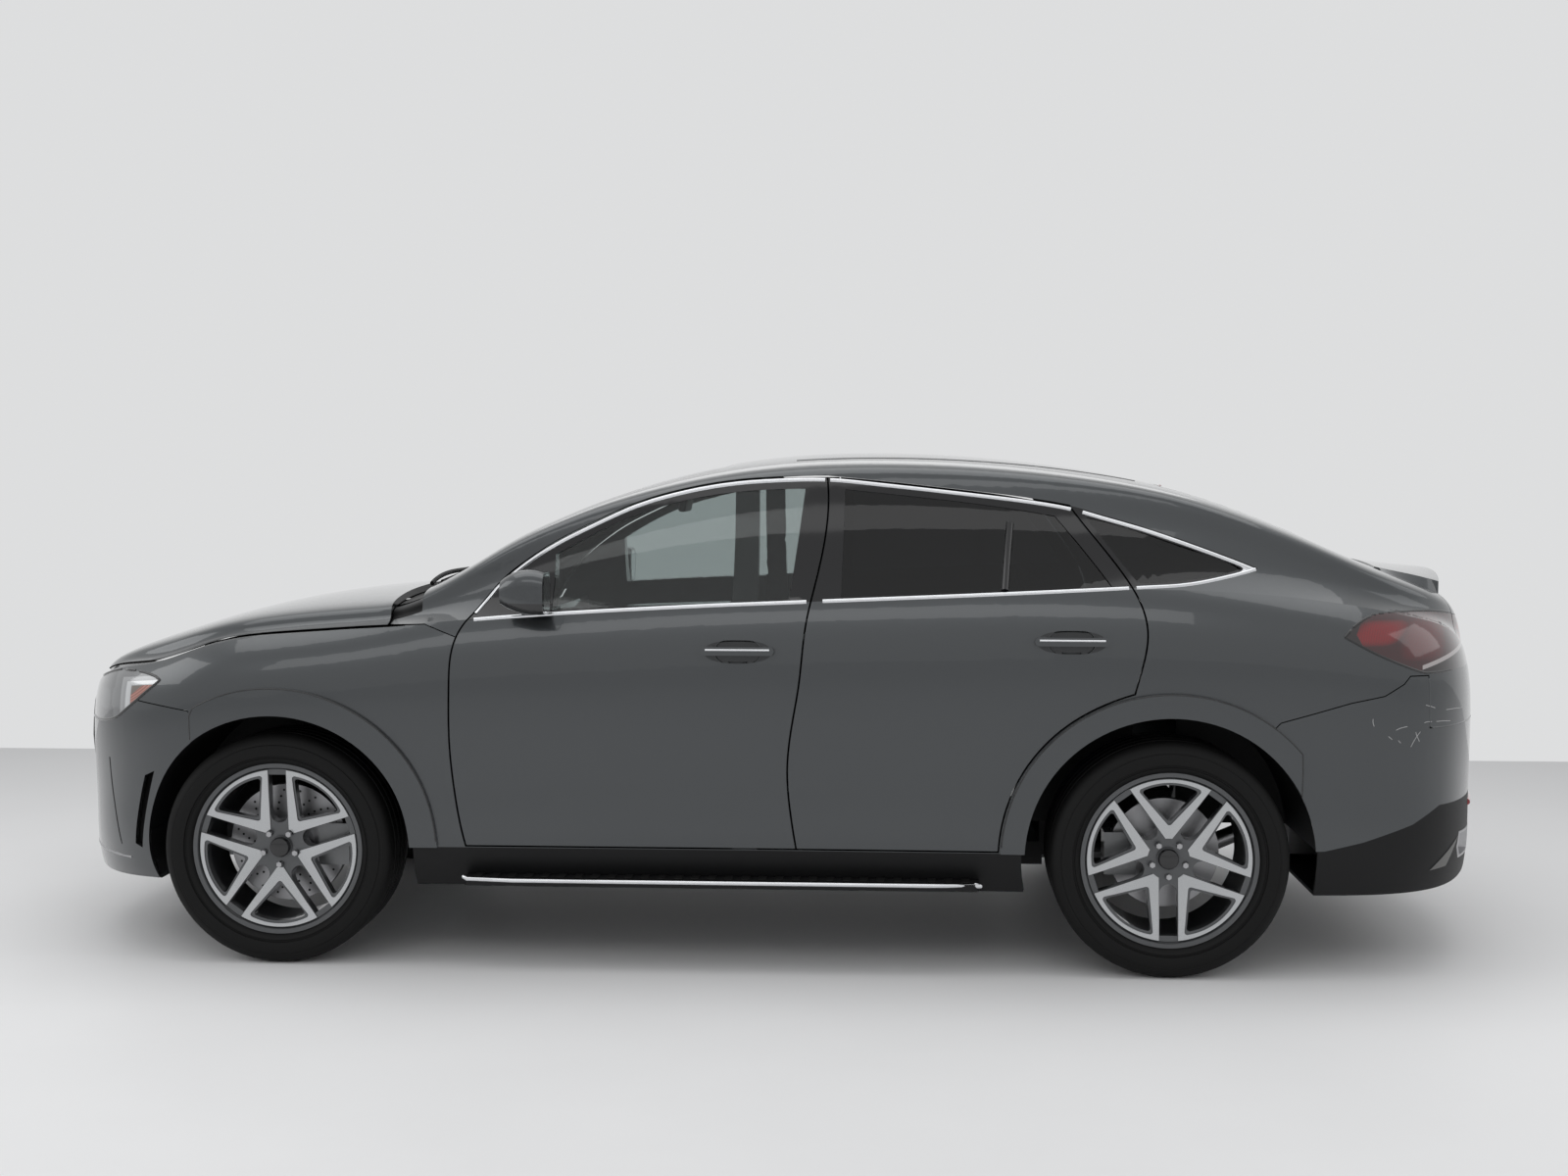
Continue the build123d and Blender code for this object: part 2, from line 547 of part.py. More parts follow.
front_door = carve(with_handle(front_door, FRONT_HANDLE), plus=f_leaves)
rear_door = carve(with_handle(rear_door, REAR_HANDLE), plus=r_leaves)
nodes["front_door_left"] = front_door
nodes["front_door_right"] = flipped(front_door)
nodes["rear_door_left"] = rear_door
nodes["rear_door_right"] = flipped(rear_door)
front_pane = carve(skin_glass, keep=[side_prism(FRONT_WINDOW, 500, grow=-FIT)], cut=[skin_glass_in])
rear_pane = carve(skin_glass, keep=[side_prism(REAR_WINDOW, 500, grow=-FIT)], cut=[skin_glass_in])
quarter_pane = carve(skin_glass, keep=[side_prism(QUARTER, 500, grow=-FIT)], cut=[skin_glass_in])
nodes["front_door_glass_left"] = front_pane
nodes["front_door_glass_right"] = flipped(front_pane)
nodes["rear_door_glass_left"] = rear_pane
nodes["rear_door_glass_right"] = flipped(rear_pane)
screen = carve(skin_glass, keep=[screen_in], cut=[skin_glass_in])
nodes["fixed_glass"] = carve(screen, plus=[paired(quarter_pane)])



def cross_hinge_leaf(axis, y, elbow, seat, width):
    """Return an arm that swings about an axis across the car: barrel, elbow, foot."""
    with BuildPart() as bp:
        with BuildSketch(Plane.XZ.offset(-y - width / 2)):
            with Locations(axis):
                Circle(BARREL_R)
            for p, q in ((axis, elbow), (elbow, seat)):
                with Locations(((p[0] + q[0]) / 2, (p[1] + q[1]) / 2)):
                    SlotCenterToCenter(math.dist(p, q), 12,
                                       rotation=math.degrees(math.atan2(q[1] - p[1], q[0] - p[0])))
            with Locations(axis):
                Circle(PIN_R + PIN_FIT, mode=Mode.SUBTRACT)
        extrude(amount=width)
    return bp.part


def cross_hinge_post(axis, y, foot, width):
    """Return the fixed half of such a hinge: pin and two cheeks out to a foot."""
    cheek = 8.0
    with BuildPart() as bp:
        add(rod((axis[0], y - width / 2 - cheek, axis[1]), (axis[0], y + width / 2 + cheek, axis[1]), PIN_R))
        for y1 in (y - width / 2 - FIT, y + width / 2 + FIT + cheek):
            with BuildSketch(Plane.XZ.offset(-y1)):
                with Locations(axis):
                    Circle(BARREL_R)
                with Locations(((axis[0] + foot[0]) / 2, (axis[1] + foot[1]) / 2)):
                    SlotCenterToCenter(math.dist(axis, foot), 2 * BARREL_R,
                                       rotation=math.degrees(math.atan2(foot[1] - axis[1], foot[0] - axis[0])))
            extrude(amount=cheek)
    return bp.part


# Hood, cowl and their hinges
hood_leaf = cross_hinge_leaf(HOOD_AXIS, HOOD_HINGE_Y, (1290, 1150), (1345, 1176), 24)
hood_post = cross_hinge_post(HOOD_AXIS, HOOD_HINGE_Y, (1108, 1088), 24)
hood_skin = carve(outer, keep=[hood_side_in, hood_plan_in], cut=[shifted(skin_hood, -14)])
hood_leaf = carve(hood_leaf, keep=[skin_cover])
nodes["hood"] = carve(hood_skin, plus=[paired(hood_leaf)])
nodes["floor_pan"] = carve(nodes["floor_pan"], plus=[paired(hood_post)])
skin_cowl = body(28.0, front=1400, back=1000)
skin_cowl_in = body(36.0, front=1400, back=1000)
cowl = carve(skin_cowl, keep=[cowl_half],
             cut=[skin_cowl_in, block(1180, 1310, 655, 725, 1000, 1300)])
nodes["cowl"] = paired(cowl)

# Tailgate with its own glass and lamps
gate_lead = carve(skin_lead, keep=[block(-1410, -1300, -700, 700, 1300, 1700)])
gate = carve(shell, keep=[gate_in],
             cut=[gate_lead, glass_r_out, bumper_r_out, block(-3000, -1000, -700, 700, 100, 822)])
gate_leaf = cross_hinge_leaf(GATE_AXIS, GATE_HINGE_Y, (-1251, 1440), (-1425, 1537), 24)
gate_post = cross_hinge_post(GATE_AXIS, GATE_HINGE_Y, (-1150, 1618), 24)
gate_post = carve(gate_post, keep=[skin_lead])
GATE_LAMP = loop([(360, 1046), (GATE_Y + 40, 1040), (GATE_Y + 40, 1165), (420, 1140)])
gate_lamp_cut = end_prism(GATE_LAMP, TAIL_X - 100, -2050)
gate_lamp_in = end_prism(GATE_LAMP, TAIL_X - 100, -2050, grow=-1.5)
gate_lamp = carve(outer, keep=[gate_lamp_in, gate_in], cut=[shifted(outer, 40)])
gate = carve(gate, cut=[paired(carve(gate_lamp_cut, cut=[shifted(outer, 40.15)]))])
lip_form = lip_body()
lip = carve(lip_form, keep=[plan_prism(LIP, 1100, 1500)], cut=[shifted(lip_form, dz=-LIP_T)])
nodes["tailgate"] = carve(gate.solids().sort_by(SortBy.VOLUME)[-1], plus=[paired(gate_leaf), lip])
nodes["tailgate_lamps"] = paired(gate_lamp)
nodes["tailgate_glass"] = carve(skin_glass, keep=[glass_r_in], cut=[skin_glass_in])
nodes["roof_panel"] = carve(nodes["roof_panel"], plus=[paired(gate_post)])

# Bumpers, lamps, grille
nose_in = shifted(skin_cover, -22)
tail_inner = shifted(skin_cover, 22)
lamp_left = carve(outer, keep=[lamp_in], cut=[shifted(skin_lamp, -40), hood_side_out])
nodes["headlamps"] = paired(lamp_left)
GRILLE = loop([(-430, 590), (430, 590), (500, 700), (470, 840), (-470, 840), (-500, 700)])
grille_cut = end_prism(GRILLE, 1900, 2600)
INTAKE = loop([(-520, 350), (520, 350), (600, 450), (560, 520), (-560, 520), (-600, 450)])
intake_cut = end_prism(INTAKE, 2200, 2600)
CURTAIN = [[(2030, 640), (2070, 622)], [(2070, 622), (2102, 510), (2122, 384)], [(2122, 384), (2092, 372)],
           [(2092, 372), (2066, 520), (2030, 640)]]
curtain = side_prism(CURTAIN, 600)
bumper_f = carve(outer, keep=[bumper_f_in],
                 cut=[nose_in, paired(lamp_out), hood_side_out, front_wells, front_pocket, grille_cut,
                      intake_cut, paired(curtain)])
nodes["front_bumper"] = bumper_f
grille_slab = carve(shifted(outer, -14), keep=[end_prism(GRILLE, 1900, 2600, grow=-FIT)],
                    cut=[shifted(outer, -40)])
slots = [block(1900, 2600, -440, 440, z, z + 26) for z in (612, 656, 700, 744, 788)]
nodes["grille"] = carve(grille_slab, cut=slots)
fender = carve(outer, keep=[fender_zone],
               cut=[skin_fender, bumper_f_out, lamp_out, hood_side_out, front_door_out, front_well])
nodes["front_fenders"] = paired(fender)
bumper_r = carve(outer, keep=[bumper_r_in],
                 cut=[tail_inner, gate_out, rear_wells, rear_pocket, paired(tail_out), valance_in])
nodes["rear_bumper"] = bumper_r
nodes["rear_valance"] = carve(outer, keep=[valance_in], cut=[tail_inner, rear_wells, rear_pocket, under_open])
tail_lamp = carve(outer, keep=[tail_in], cut=[shifted(skin_lamp, 30), gate_out])
nodes["tail_lamps"] = paired(tail_lamp)


# Arch flares, liners and side steps
def flare(axle_x, inner_r, limit):
    """Return one arch flare that sits on the body's skin."""
    ring = carve(axle_drum(axle_x, FLARE_R, 700, 1200), cut=[axle_drum(axle_x, inner_r, 690, 1210)])
    return carve(flare_form, keep=[ring, limit], cut=[flare_seat])


flare_f = flare(FRONT_AXLE_X, FRONT_ARCH_R, block(1000, 1885, 0, 1300, SILL_Z, 1200))
flare_r = flare(REAR_AXLE_X, REAR_ARCH_R, block(-1740, -700, 0, 1300, SILL_Z, 1200))
nodes["arch_flares"] = paired(carve(flare_f, plus=[flare_r]))
liner_seat = body(FENDER_T + FIT)


def liner(axle_x, r, form, low):
    """Return a wheel-well liner: a drum open below and outboard."""
    wall = carve(axle_drum(axle_x, r + LINER, WELL_Y - 6, 1100), cut=[axle_drum(axle_x, r + 3, WELL_Y, 1110)])
    return carve(wall, keep=[form, block(-3000, 3000, 0, 1300, low, 1300)],
                 cut=[block(axle_x - 90, axle_x + 60, 400, 700, 300, 900)])


nodes["wheel_liners"] = paired(carve(liner(FRONT_AXLE_X, FRONT_ARCH_R, liner_seat, 420),
                                     plus=[liner(REAR_AXLE_X, REAR_ARCH_R, liner_seat, 420)]))
STEP_X0 = -860.0
STEP_X1 = 1150.0
rocker = carve(outer, keep=[block(STEP_X0, STEP_X1, 884 + FIT, 1300, 200, SILL_Z)],
               cut=[front_clear, rear_clear])
with BuildPart() as step:
    with BuildSketch(Plane.XY.offset(282)):
        with Locations((130, 945)):
            RectangleRounded(1690, 118, 24)
    extrude(amount=24)
nodes["side_steps"] = paired(carve(rocker, plus=[step.part]))


# Wheels
def turned(x, points):
    """Return a ring about a wheel axis from its profile, y and radius."""
    with BuildPart() as bp:
        with BuildSketch(Plane.YZ.offset(x)):
            with BuildLine():
                Polyline(*[(y, TYRE_R + r) for y, r in points], close=True)
            make_face()
        revolve(axis=Axis((x, 0, TYRE_R), (0, 1, 0)))
    return bp.part


def tyre(x, y, w):
    """Return a grooved tyre about its axle, its outer side towards +Y."""
    h = w / 2
    bead = RIM_R + FIT
    half = [(h - 34, TYRE_R), (h - 20, TYRE_R - 6), (h - 10, TYRE_R - 20), (h - 2, RIM_R + 60),
            (h, RIM_R + 44), (h - 4, RIM_R + 24), (h - 22, bead)]
    ring = turned(x, [(y + dy, r) for dy, r in half] + [(y - dy, r) for dy, r in half[::-1]])
    grooves = [turned(x, [(y + dy - 5, TYRE_R - GROOVE), (y + dy + 5, TYRE_R - GROOVE), (y + dy + 6, TYRE_R + 5),
                          (y + dy - 6, TYRE_R + 5)]) for dy in (-0.25 * w, -0.085 * w, 0.085 * w, 0.25 * w)]
    return carve(ring, cut=grooves)


SPOKES = 5
HUB_R = 82.0
STUB_R = 24.0
FORK_R = 108.0
WINDOW_R = 249.0
WINDOW_A = 24.5
SLOT_W = 58.0
FACE_RISE = 4.0


def spoke_openings(x, y, w, turn, inset, slot, reach):
    """Return prisms of the wide windows and of the even slots between the forked spokes."""
    step = 360 / SPOKES
    with BuildPart() as bp:
        with BuildSketch(Plane.XZ.offset(-y - w)) as sk:
            for i in range(SPOKES):
                a = turn + step * i
                spread = WINDOW_A - 0.26 * inset
                tip = polar(x, FORK_R + 1.6 * inset, a)
                first = polar(x, WINDOW_R - inset, a - spread)
                last = polar(x, WINDOW_R - inset, a + spread)
                with BuildLine():
                    Line(tip, first)
                    ThreePointArc(first, polar(x, WINDOW_R + 4 - inset, a), last)
                    Line(last, tip)
                make_face()
            fillet(sk.vertices(), 9)
            for i in range(SPOKES):
                a = turn + step * (i + 0.5)
                with Locations(polar(x, (reach[0] + reach[1]) / 2, a)):
                    Rectangle(reach[1] - reach[0], slot, rotation=a)
                with Locations(polar(x, reach[0], a)):
                    Circle(slot / 2)
        extrude(amount=2 * w)
    return bp.part


def rim(x, y, w, mount, turn):
    """Return a rim with five forked spokes, their machined faces raised, towards +Y."""
    h = w / 2 - 22
    face = y + h - 6
    low = face - FACE_RISE
    bore = STUB_R + PIN_FIT
    barrel = turned(x, [(y - h, RIM_R), (y + h, RIM_R), (y + h, RIM_R - 14), (y + h - 26, RIM_R - 26),
                        (y - h + 10, RIM_R - 34), (y - h, RIM_R - 16)])
    wheel_disc = turned(x, [(mount, bore), (mount, HUB_R), (face - 46, 130), (face - 40, RIM_R - 20),
                            (low, RIM_R - 20), (low - 4, 200), (low - 18, 84), (low - 26, 36),
                            (low - 26, bore)])
    plates = turned(x, [(face, 264), (face - 4, 200), (face - 18, 84), (face - 20, 68), (low - 22, 68),
                        (low - 20, 84), (low - 6, 200), (low - 2, 264)])
    wheel_disc = carve(wheel_disc, cut=[spoke_openings(x, y, w, turn, 8, SLOT_W, (112, 247))])
    plates = carve(plates, cut=[spoke_openings(x, y, w, turn, 0, SLOT_W + 4, (40, 300))])
    return carve(barrel, plus=[wheel_disc, plates])


def polar(x, r, angle):
    """Return a point about a wheel axis, x and z."""
    a = math.radians(angle)
    return (x + r * math.cos(a), TYRE_R + r * math.sin(a))


def disc(x, mount, r):
    """Return a brake disc with its hat, seated on the rim's mounting face."""
    bore = STUB_R + PIN_FIT
    return turned(x, [(mount, bore), (mount, HUB_R), (mount - 38, HUB_R + 4), (mount - 38, r), (mount - 70, r),
                      (mount - 70, HUB_R - 8), (mount - 12, HUB_R - 10), (mount - 12, bore)])


STEER_Y = 742.0
FRONT_MOUNT = 868.0
REAR_MOUNT = 872.0
FRONT_DISC_R = 198.0
REAR_DISC_R = 180.0


def hub(x, mount, back, r, side):
    """Return a hub carrier's spindle and caliper about an axle."""
    ring = mount - 70
    inner = axle_drum(x, 56, back, ring - 8)
    stub = axle_drum(x, STUB_R, ring - 10, mount + 22)
    cx = x + side * (r - 34)
    caliper = block(cx - 52, cx + 52, ring - 26, ring + 62, TYRE_R - 70, TYRE_R + 70)
    gap = axle_drum(x, r + 6, ring - 6, ring + 38)
    mount_arm = block(min(x, cx), max(x, cx), back, ring - 12, TYRE_R - 45, TYRE_R + 45)
    caliper = carve(caliper, cut=[gap, axle_drum(x, 94, ring - 40, ring + 100)])
    return carve(inner, plus=[stub, mount_arm, caliper])


BALL_LOW = 232.0
BALL_HIGH = 528.0
knuckle = carve(hub(FRONT_AXLE_X, FRONT_MOUNT, 722, FRONT_DISC_R, -1),
                plus=[block(FRONT_AXLE_X - 26, FRONT_AXLE_X + 26, STEER_Y - 20, STEER_Y + 20,
                            BALL_LOW + 22, BALL_HIGH - 22)])
ball_bores = [rod((FRONT_AXLE_X, STEER_Y, z0), (FRONT_AXLE_X, STEER_Y, z1), 10 + PIN_FIT)
              for z0, z1 in ((200, BALL_LOW + 50), (BALL_HIGH - 50, 600))]
knuckle = carve(knuckle, cut=ball_bores)
nodes["front_knuckle_left"] = knuckle
nodes["front_knuckle_right"] = flipped(knuckle)
rear_hub = carve(hub(REAR_AXLE_X, REAR_MOUNT, 700, REAR_DISC_R, 1),
                 plus=[block(REAR_AXLE_X - 80, REAR_AXLE_X + 80, 700, 732, 300, 462)])
nodes["rear_hub_carriers"] = paired(rear_hub)
for end, x, track, w, mount, r, turn in (
        ("front", FRONT_AXLE_X, FRONT_TRACK, FRONT_TYRE_W, FRONT_MOUNT, FRONT_DISC_R, 270),
        ("rear", REAR_AXLE_X, REAR_TRACK, REAR_TYRE_W, REAR_MOUNT, REAR_DISC_R, 90)):
    pieces = {"tyre": tyre(x, track, w), "rim": rim(x, track, w, mount, turn), "disc": disc(x, mount, r)}
    for kind, piece in pieces.items():
        nodes[f"{end}_{kind}_left"] = piece
        nodes[f"{end}_{kind}_right"] = flipped(piece)

# Suspension and drive below the floor
arms = [rod((FRONT_AXLE_X + dx, 330, 262), (FRONT_AXLE_X, STEER_Y, BALL_LOW - 2), 16) for dx in (-135, 135)]
low_pin = rod((FRONT_AXLE_X, STEER_Y, BALL_LOW - 14), (FRONT_AXLE_X, STEER_Y, BALL_LOW + 48), 10)
high_pin = rod((FRONT_AXLE_X, STEER_Y, BALL_HIGH - 48), (FRONT_AXLE_X, STEER_Y, BALL_HIGH + 14), 10)
strut = rod((FRONT_AXLE_X, STEER_Y, BALL_HIGH + 8), (FRONT_AXLE_X - 14, 600, 800), 20)
tower = rod((FRONT_AXLE_X - 12, 616, 760), (FRONT_AXLE_X - 20, 540, 930), 52)
cross_f = block(FRONT_AXLE_X - 190, FRONT_AXLE_X + 150, -350, 350, 240, 292)
rail_f = block(1126 + FIT, 2240, 380, 460, 470, 570)
cross_leg = block(FRONT_AXLE_X - 60, FRONT_AXLE_X + 60, 330, 400, 240, 480)
tower_leg = block(FRONT_AXLE_X - 60, FRONT_AXLE_X + 20, 420, 560, 500, 930)
front_side = carve(arms[0], plus=[arms[1], low_pin, high_pin, strut, tower, rail_f, cross_leg, tower_leg])
front_frame = carve(cross_f, plus=[paired(front_side)])
beam = block(2200, 2262, -560, 560, 500, 600)
rear_arms = [carve(rod((REAR_AXLE_X + dx, 300, 305), (REAR_AXLE_X + dx / 3, 720, 325), 16),
                   keep=[block(-3000, 3000, 0, 700 - FIT, 0, 600)]) for dx in (-170, 170)]
shaft = rod((REAR_AXLE_X, 100, TYRE_R), (REAR_AXLE_X, 700 - FIT, TYRE_R), 18)
spring = rod((REAR_AXLE_X + 110, 410, 300), (REAR_AXLE_X + 110, 410, 640 - FIT), 46)
cross_r = block(REAR_AXLE_X - 220, REAR_AXLE_X + 220, -330, 330, 280, 340)
diff = block(REAR_AXLE_X - 130, REAR_AXLE_X + 150, -120, 120, 310, 470)
rear_frame = carve(cross_r, plus=[diff, paired(carve(rear_arms[0], plus=[rear_arms[1], shaft, spring]))])
nodes["front_subframe"] = carve(front_frame, plus=[beam])
nodes["rear_subframe"] = rear_frame
nodes["engine"] = block(1330, 2080, -329.8, 329.8, 292, 1010)
pipe = rod((1100, 0, 210), (-1560, 0, 225), 32)
muffler = block(-2180, -1820, -420, 420, 300, 430)
TIP = loop([(560, 352), (742, 360), (772, 400), (760, 452), (548, 440)])
tip_hole = end_prism(TIP, -2600, -2120, grow=FIT)
tip = carve(body(-3.0), keep=[end_prism(TIP, -2600, -2120)], cut=[end_prism(TIP, -2600, -2160, grow=-9)])
tip_pipe = rod((-2140, 400, 370), (-2140, 640, 398), 26)
hangers = [rod((x, 0, 215), (x, 0, 265 - FIT), 10) for x in (900, 100, -800)]
hangers += [rod((-2000, y, 400), (-2000, y, 640 - FIT), 10) for y in (-300, 300)]
down_pipe = rod((-1560, 0, 225), (-1850, 0, 350), 32)
nodes["exhaust"] = carve(pipe, plus=[muffler, down_pipe, paired(tip), paired(tip_pipe)] + hangers)
nodes["rear_valance"] = carve(nodes["rear_valance"], cut=[paired(tip_hole)])

# Cabin
with BuildPart() as dash:
    with BuildSketch(Plane.XZ.offset(800)):
        with BuildLine():
            Polyline((1088 - FIT, 700), (1088 - FIT, 1080), (960, 1120), (760, 1085), (640, 1010), (660, 900),
                     (760, 720), close=True)
        make_face()
    extrude(amount=-1600)
dash_board = carve(dash.part, keep=[body(DOOR_T + 12, FRAME_T + 20, 60, front=1160, back=300)])
console = block(-260, 800, -130, 130, FLOOR_Z, 640)
STEER_C = (560.0, 380.0, 975.0)
STEER_TILT = 24.0
sw_plane = Plane(origin=STEER_C, x_dir=(0, -1, 0),
                 z_dir=(-math.cos(math.radians(STEER_TILT)), 0, math.sin(math.radians(STEER_TILT))))
column_way = Vector(math.cos(math.radians(STEER_TILT)), 0, -math.sin(math.radians(STEER_TILT)))
col_a = Vector(*STEER_C) + column_way * 4
col_b = Vector(*STEER_C) + column_way * 190
col_0 = Vector(*STEER_C) + column_way * 44
column = rod(tuple(col_0), tuple(col_b), 34)
nodes["dashboard"] = carve(carve(dash_board, plus=[console, column]),
                           cut=[rod(tuple(col_a), tuple(col_0 + column_way * 40), 12 + PIN_FIT)])
with BuildPart() as wheel:
    with BuildSketch(sw_plane * Plane.XZ):
        with Locations((182, 0)):
            Circle(15)
    revolve(axis=Axis(STEER_C, sw_plane.z_dir))
    with BuildSketch(sw_plane.offset(-14)):
        Circle(66)
        with Locations((0, -6)):
            Rectangle(350, 34)
        with Locations((0, -90)):
            Rectangle(44, 180)
    extrude(amount=20)
    add(rod(tuple(Vector(*STEER_C) - column_way * 2), tuple(col_0 + column_way * 34), 12))
nodes["steering_wheel"] = wheel.part


def seat(x, y, w, base):
    """Return one seat: riser, cushion, leaning backrest and headrest."""
    with BuildPart() as bp:
        with BuildSketch(Plane.XZ.offset(-y - w / 2)):
            with BuildLine():
                Polyline((x + 10, base), (x + 440, base), (x + 500, base + 150), (x + 520, base + 250),
                         (x + 470, base + 275), (x + 60, base + 225), (x - 90, base + 760),
                         (x - 110, base + 790), (x - 170, base + 790), (x - 190, base + 740),
                         (x - 60, base + 140), close=True)
            make_face()
        extrude(amount=w)
        fillet(bp.edges().filter_by(Axis.Y).sort_by(Axis.Z)[4:], 20)
        with Locations((x - 150, y, base + 875)):
            Box(90, min(w, 280) * 0.85, 150)
        fillet(bp.edges().filter_by(Axis.Y).sort_by(Axis.Z)[-4:], 25)
        for dy in (-50, 50):
            add(rod((x - 142, y + dy, base + 760), (x - 146, y + dy, base + 830), 6))
    return bp.part


nodes["front_seats"] = paired(seat(-70, 385, 500, FLOOR_Z))
nodes["rear_seat"] = seat(-785, 0, 1260, FLOOR_Z)

# Mirrors on the front doors
with BuildPart() as mirror_head:
    with BuildSketch(Plane.YZ.offset(690)):
        with Locations((1004, 1244)):
            RectangleRounded(148, 136, 45)
    with BuildSketch(Plane.YZ.offset(760)):
        with Locations((1004, 1250)):
            RectangleRounded(146, 140, 48)
    with BuildSketch(Plane.YZ.offset(836)):
        with Locations((1000, 1246)):
            RectangleRounded(96, 80, 38)
    loft()
foot = rod((770, 905, 1178), (770, 985, 1215), 22)
mirror_left = carve(carve(mirror_head.part, plus=[foot]), cut=[body(-FIT, front=1000, back=500)])
nodes["mirror_left"] = mirror_left
nodes["mirror_right"] = flipped(mirror_left)

os.makedirs("parts", exist_ok=True)
for name, part in nodes.items():
    export_step(part, os.path.join("parts", name + ".step"))
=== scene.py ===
import logging
import math
from dataclasses import dataclass
from enum import Enum
from typing import Callable, Sequence

import bmesh
import bpy
from mathutils import Matrix, Vector
from mathutils.bvhtree import BVHTree


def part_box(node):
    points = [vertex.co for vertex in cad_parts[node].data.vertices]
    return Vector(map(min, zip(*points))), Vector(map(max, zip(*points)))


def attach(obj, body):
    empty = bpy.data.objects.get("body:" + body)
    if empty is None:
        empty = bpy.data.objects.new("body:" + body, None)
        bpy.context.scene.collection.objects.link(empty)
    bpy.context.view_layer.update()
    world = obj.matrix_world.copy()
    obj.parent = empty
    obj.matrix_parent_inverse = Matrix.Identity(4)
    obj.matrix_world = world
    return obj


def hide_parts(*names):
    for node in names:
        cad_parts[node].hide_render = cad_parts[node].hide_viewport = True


logging.basicConfig(level=logging.INFO, format="%(message)s")
LOG = logging.getLogger("suv")

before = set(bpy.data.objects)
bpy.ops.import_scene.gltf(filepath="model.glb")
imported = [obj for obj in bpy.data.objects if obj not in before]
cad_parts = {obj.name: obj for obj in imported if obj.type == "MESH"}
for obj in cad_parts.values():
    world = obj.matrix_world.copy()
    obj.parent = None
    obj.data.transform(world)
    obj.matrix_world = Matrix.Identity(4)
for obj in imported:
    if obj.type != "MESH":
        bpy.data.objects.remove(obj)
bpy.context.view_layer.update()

Point = tuple[float, float]
Colour = tuple[float, float, float]


class Side(Enum):
    """The two sides of the car and the sign of Y on each."""

    LEFT = 1
    RIGHT = -1

    @property
    def word(self) -> str:
        """Return the side's name in lower case."""
        return self.name.lower()


class End(Enum):
    """The two axles: place along X, wheel centre in Y and tyre width, in metres."""

    FRONT = (1.6105, 0.834, 0.275)
    REAR = (-1.3245, 0.838, 0.315)

    @property
    def word(self) -> str:
        """Return the axle's name in lower case."""
        return self.name.lower()


AXLE_Z = 0.385
WINDOW_TOP: list[Point] = [
    (0.962, 1.158), (0.909, 1.228), (0.868, 1.277), (0.784, 1.345), (0.696, 1.402),
    (0.590, 1.457), (0.424, 1.533), (0.276, 1.577), (0.125, 1.605), (-0.025, 1.618),
    (-0.213, 1.621), (-0.416, 1.602), (-0.694, 1.571), (-0.880, 1.548), (-1.008, 1.526),
    (-1.116, 1.496), (-1.254, 1.456), (-1.392, 1.409), (-1.533, 1.357), (-1.616, 1.324)]
WINDOW_BELT: list[Point] = [(0.962, 1.150), (0.680, 1.172), (0.244, 1.197), (-0.140, 1.214), (-0.711, 1.239),
                            (-1.195, 1.263), (-1.370, 1.273), (-1.506, 1.296), (-1.616, 1.322)]
WINDOW_ENDS: Point = (-1.612, 0.962)
BAND_X: Point = (-1.7, 1.1)
BAND_Z: Point = (1.10, 1.66)
BAND_MIN_Y = 0.62
SHARP_ANGLE = math.radians(38)


@dataclass(frozen=True)
class Finish:
    """A plain finish: its colour, gloss and how far both vary over the surface."""

    name: str
    colour: Colour
    roughness: float = 0.5
    metallic: float = 0.0
    coat: float = 0.0
    coat_roughness: float = 0.04
    transmission: float = 0.0
    ior: float = 1.45
    mottle: float = 0.12
    scale: float = 60.0
    grain: float = 0.0
    grain_scale: float = 700.0
    specular: float = 0.5


GLOSS_BLACK = Finish("gloss_black", (0.006, 0.006, 0.007), 0.12, coat=0.6)
BLACK_PLASTIC = Finish("black_plastic", (0.007, 0.007, 0.0075), 0.50, grain=0.08, specular=0.3)
RUBBER = Finish("rubber", (0.006, 0.006, 0.006), 0.62, grain=0.05, grain_scale=300.0, specular=0.22)
BRIGHT_TRIM = Finish("bright_trim", (0.74, 0.75, 0.77), 0.16, metallic=1.0, mottle=0.04)
STEEL = Finish("steel", (0.42, 0.42, 0.43), 0.34, metallic=1.0)
SATIN = Finish("satin_metal", (0.16, 0.16, 0.155), 0.40, metallic=0.7)
SCUFF = Finish("scuff", (0.42, 0.42, 0.42), 0.7, mottle=0.3, scale=300.0)
CAST_IRON = Finish("cast_iron", (0.12, 0.12, 0.125), 0.55, metallic=0.8, grain=0.15)
CALIPER = Finish("caliper", (0.20, 0.205, 0.21), 0.38, metallic=0.5, coat=0.3)
UNDERSIDE = Finish("underside", (0.014, 0.014, 0.015), 0.7, grain=0.15, grain_scale=120.0)
LEATHER = Finish("leather", (0.016, 0.016, 0.018), 0.46, grain=0.25, grain_scale=420.0)
DASH_SKIN = Finish("dash_skin", (0.014, 0.014, 0.016), 0.6, grain=0.2, grain_scale=500.0)
CLEAR_GLASS = Finish("clear_glass", (0.52, 0.57, 0.565), 0.0, transmission=1.0, mottle=0.01)
DARK_GLASS = Finish("dark_glass", (0.030, 0.033, 0.036), 0.0, transmission=1.0, mottle=0.02)
# Painted shade: a dark sheet for the door-handle hollows, which are body colour and look dark only from
# shade.
HANDLE_HOLLOW_SHADE = Finish("handle_hollow_shade", (0.022, 0.024, 0.026), 0.3, metallic=0.4, coat=0.6)
REFLECTOR = Finish("reflector", (0.30, 0.004, 0.008), 0.12, coat=1.0)
MIRROR_GLASS = Finish("mirror_glass", (0.85, 0.87, 0.88), 0.02, metallic=1.0, mottle=0.02)
SCREEN = Finish("screen", (0.004, 0.005, 0.007), 0.08, coat=0.5)


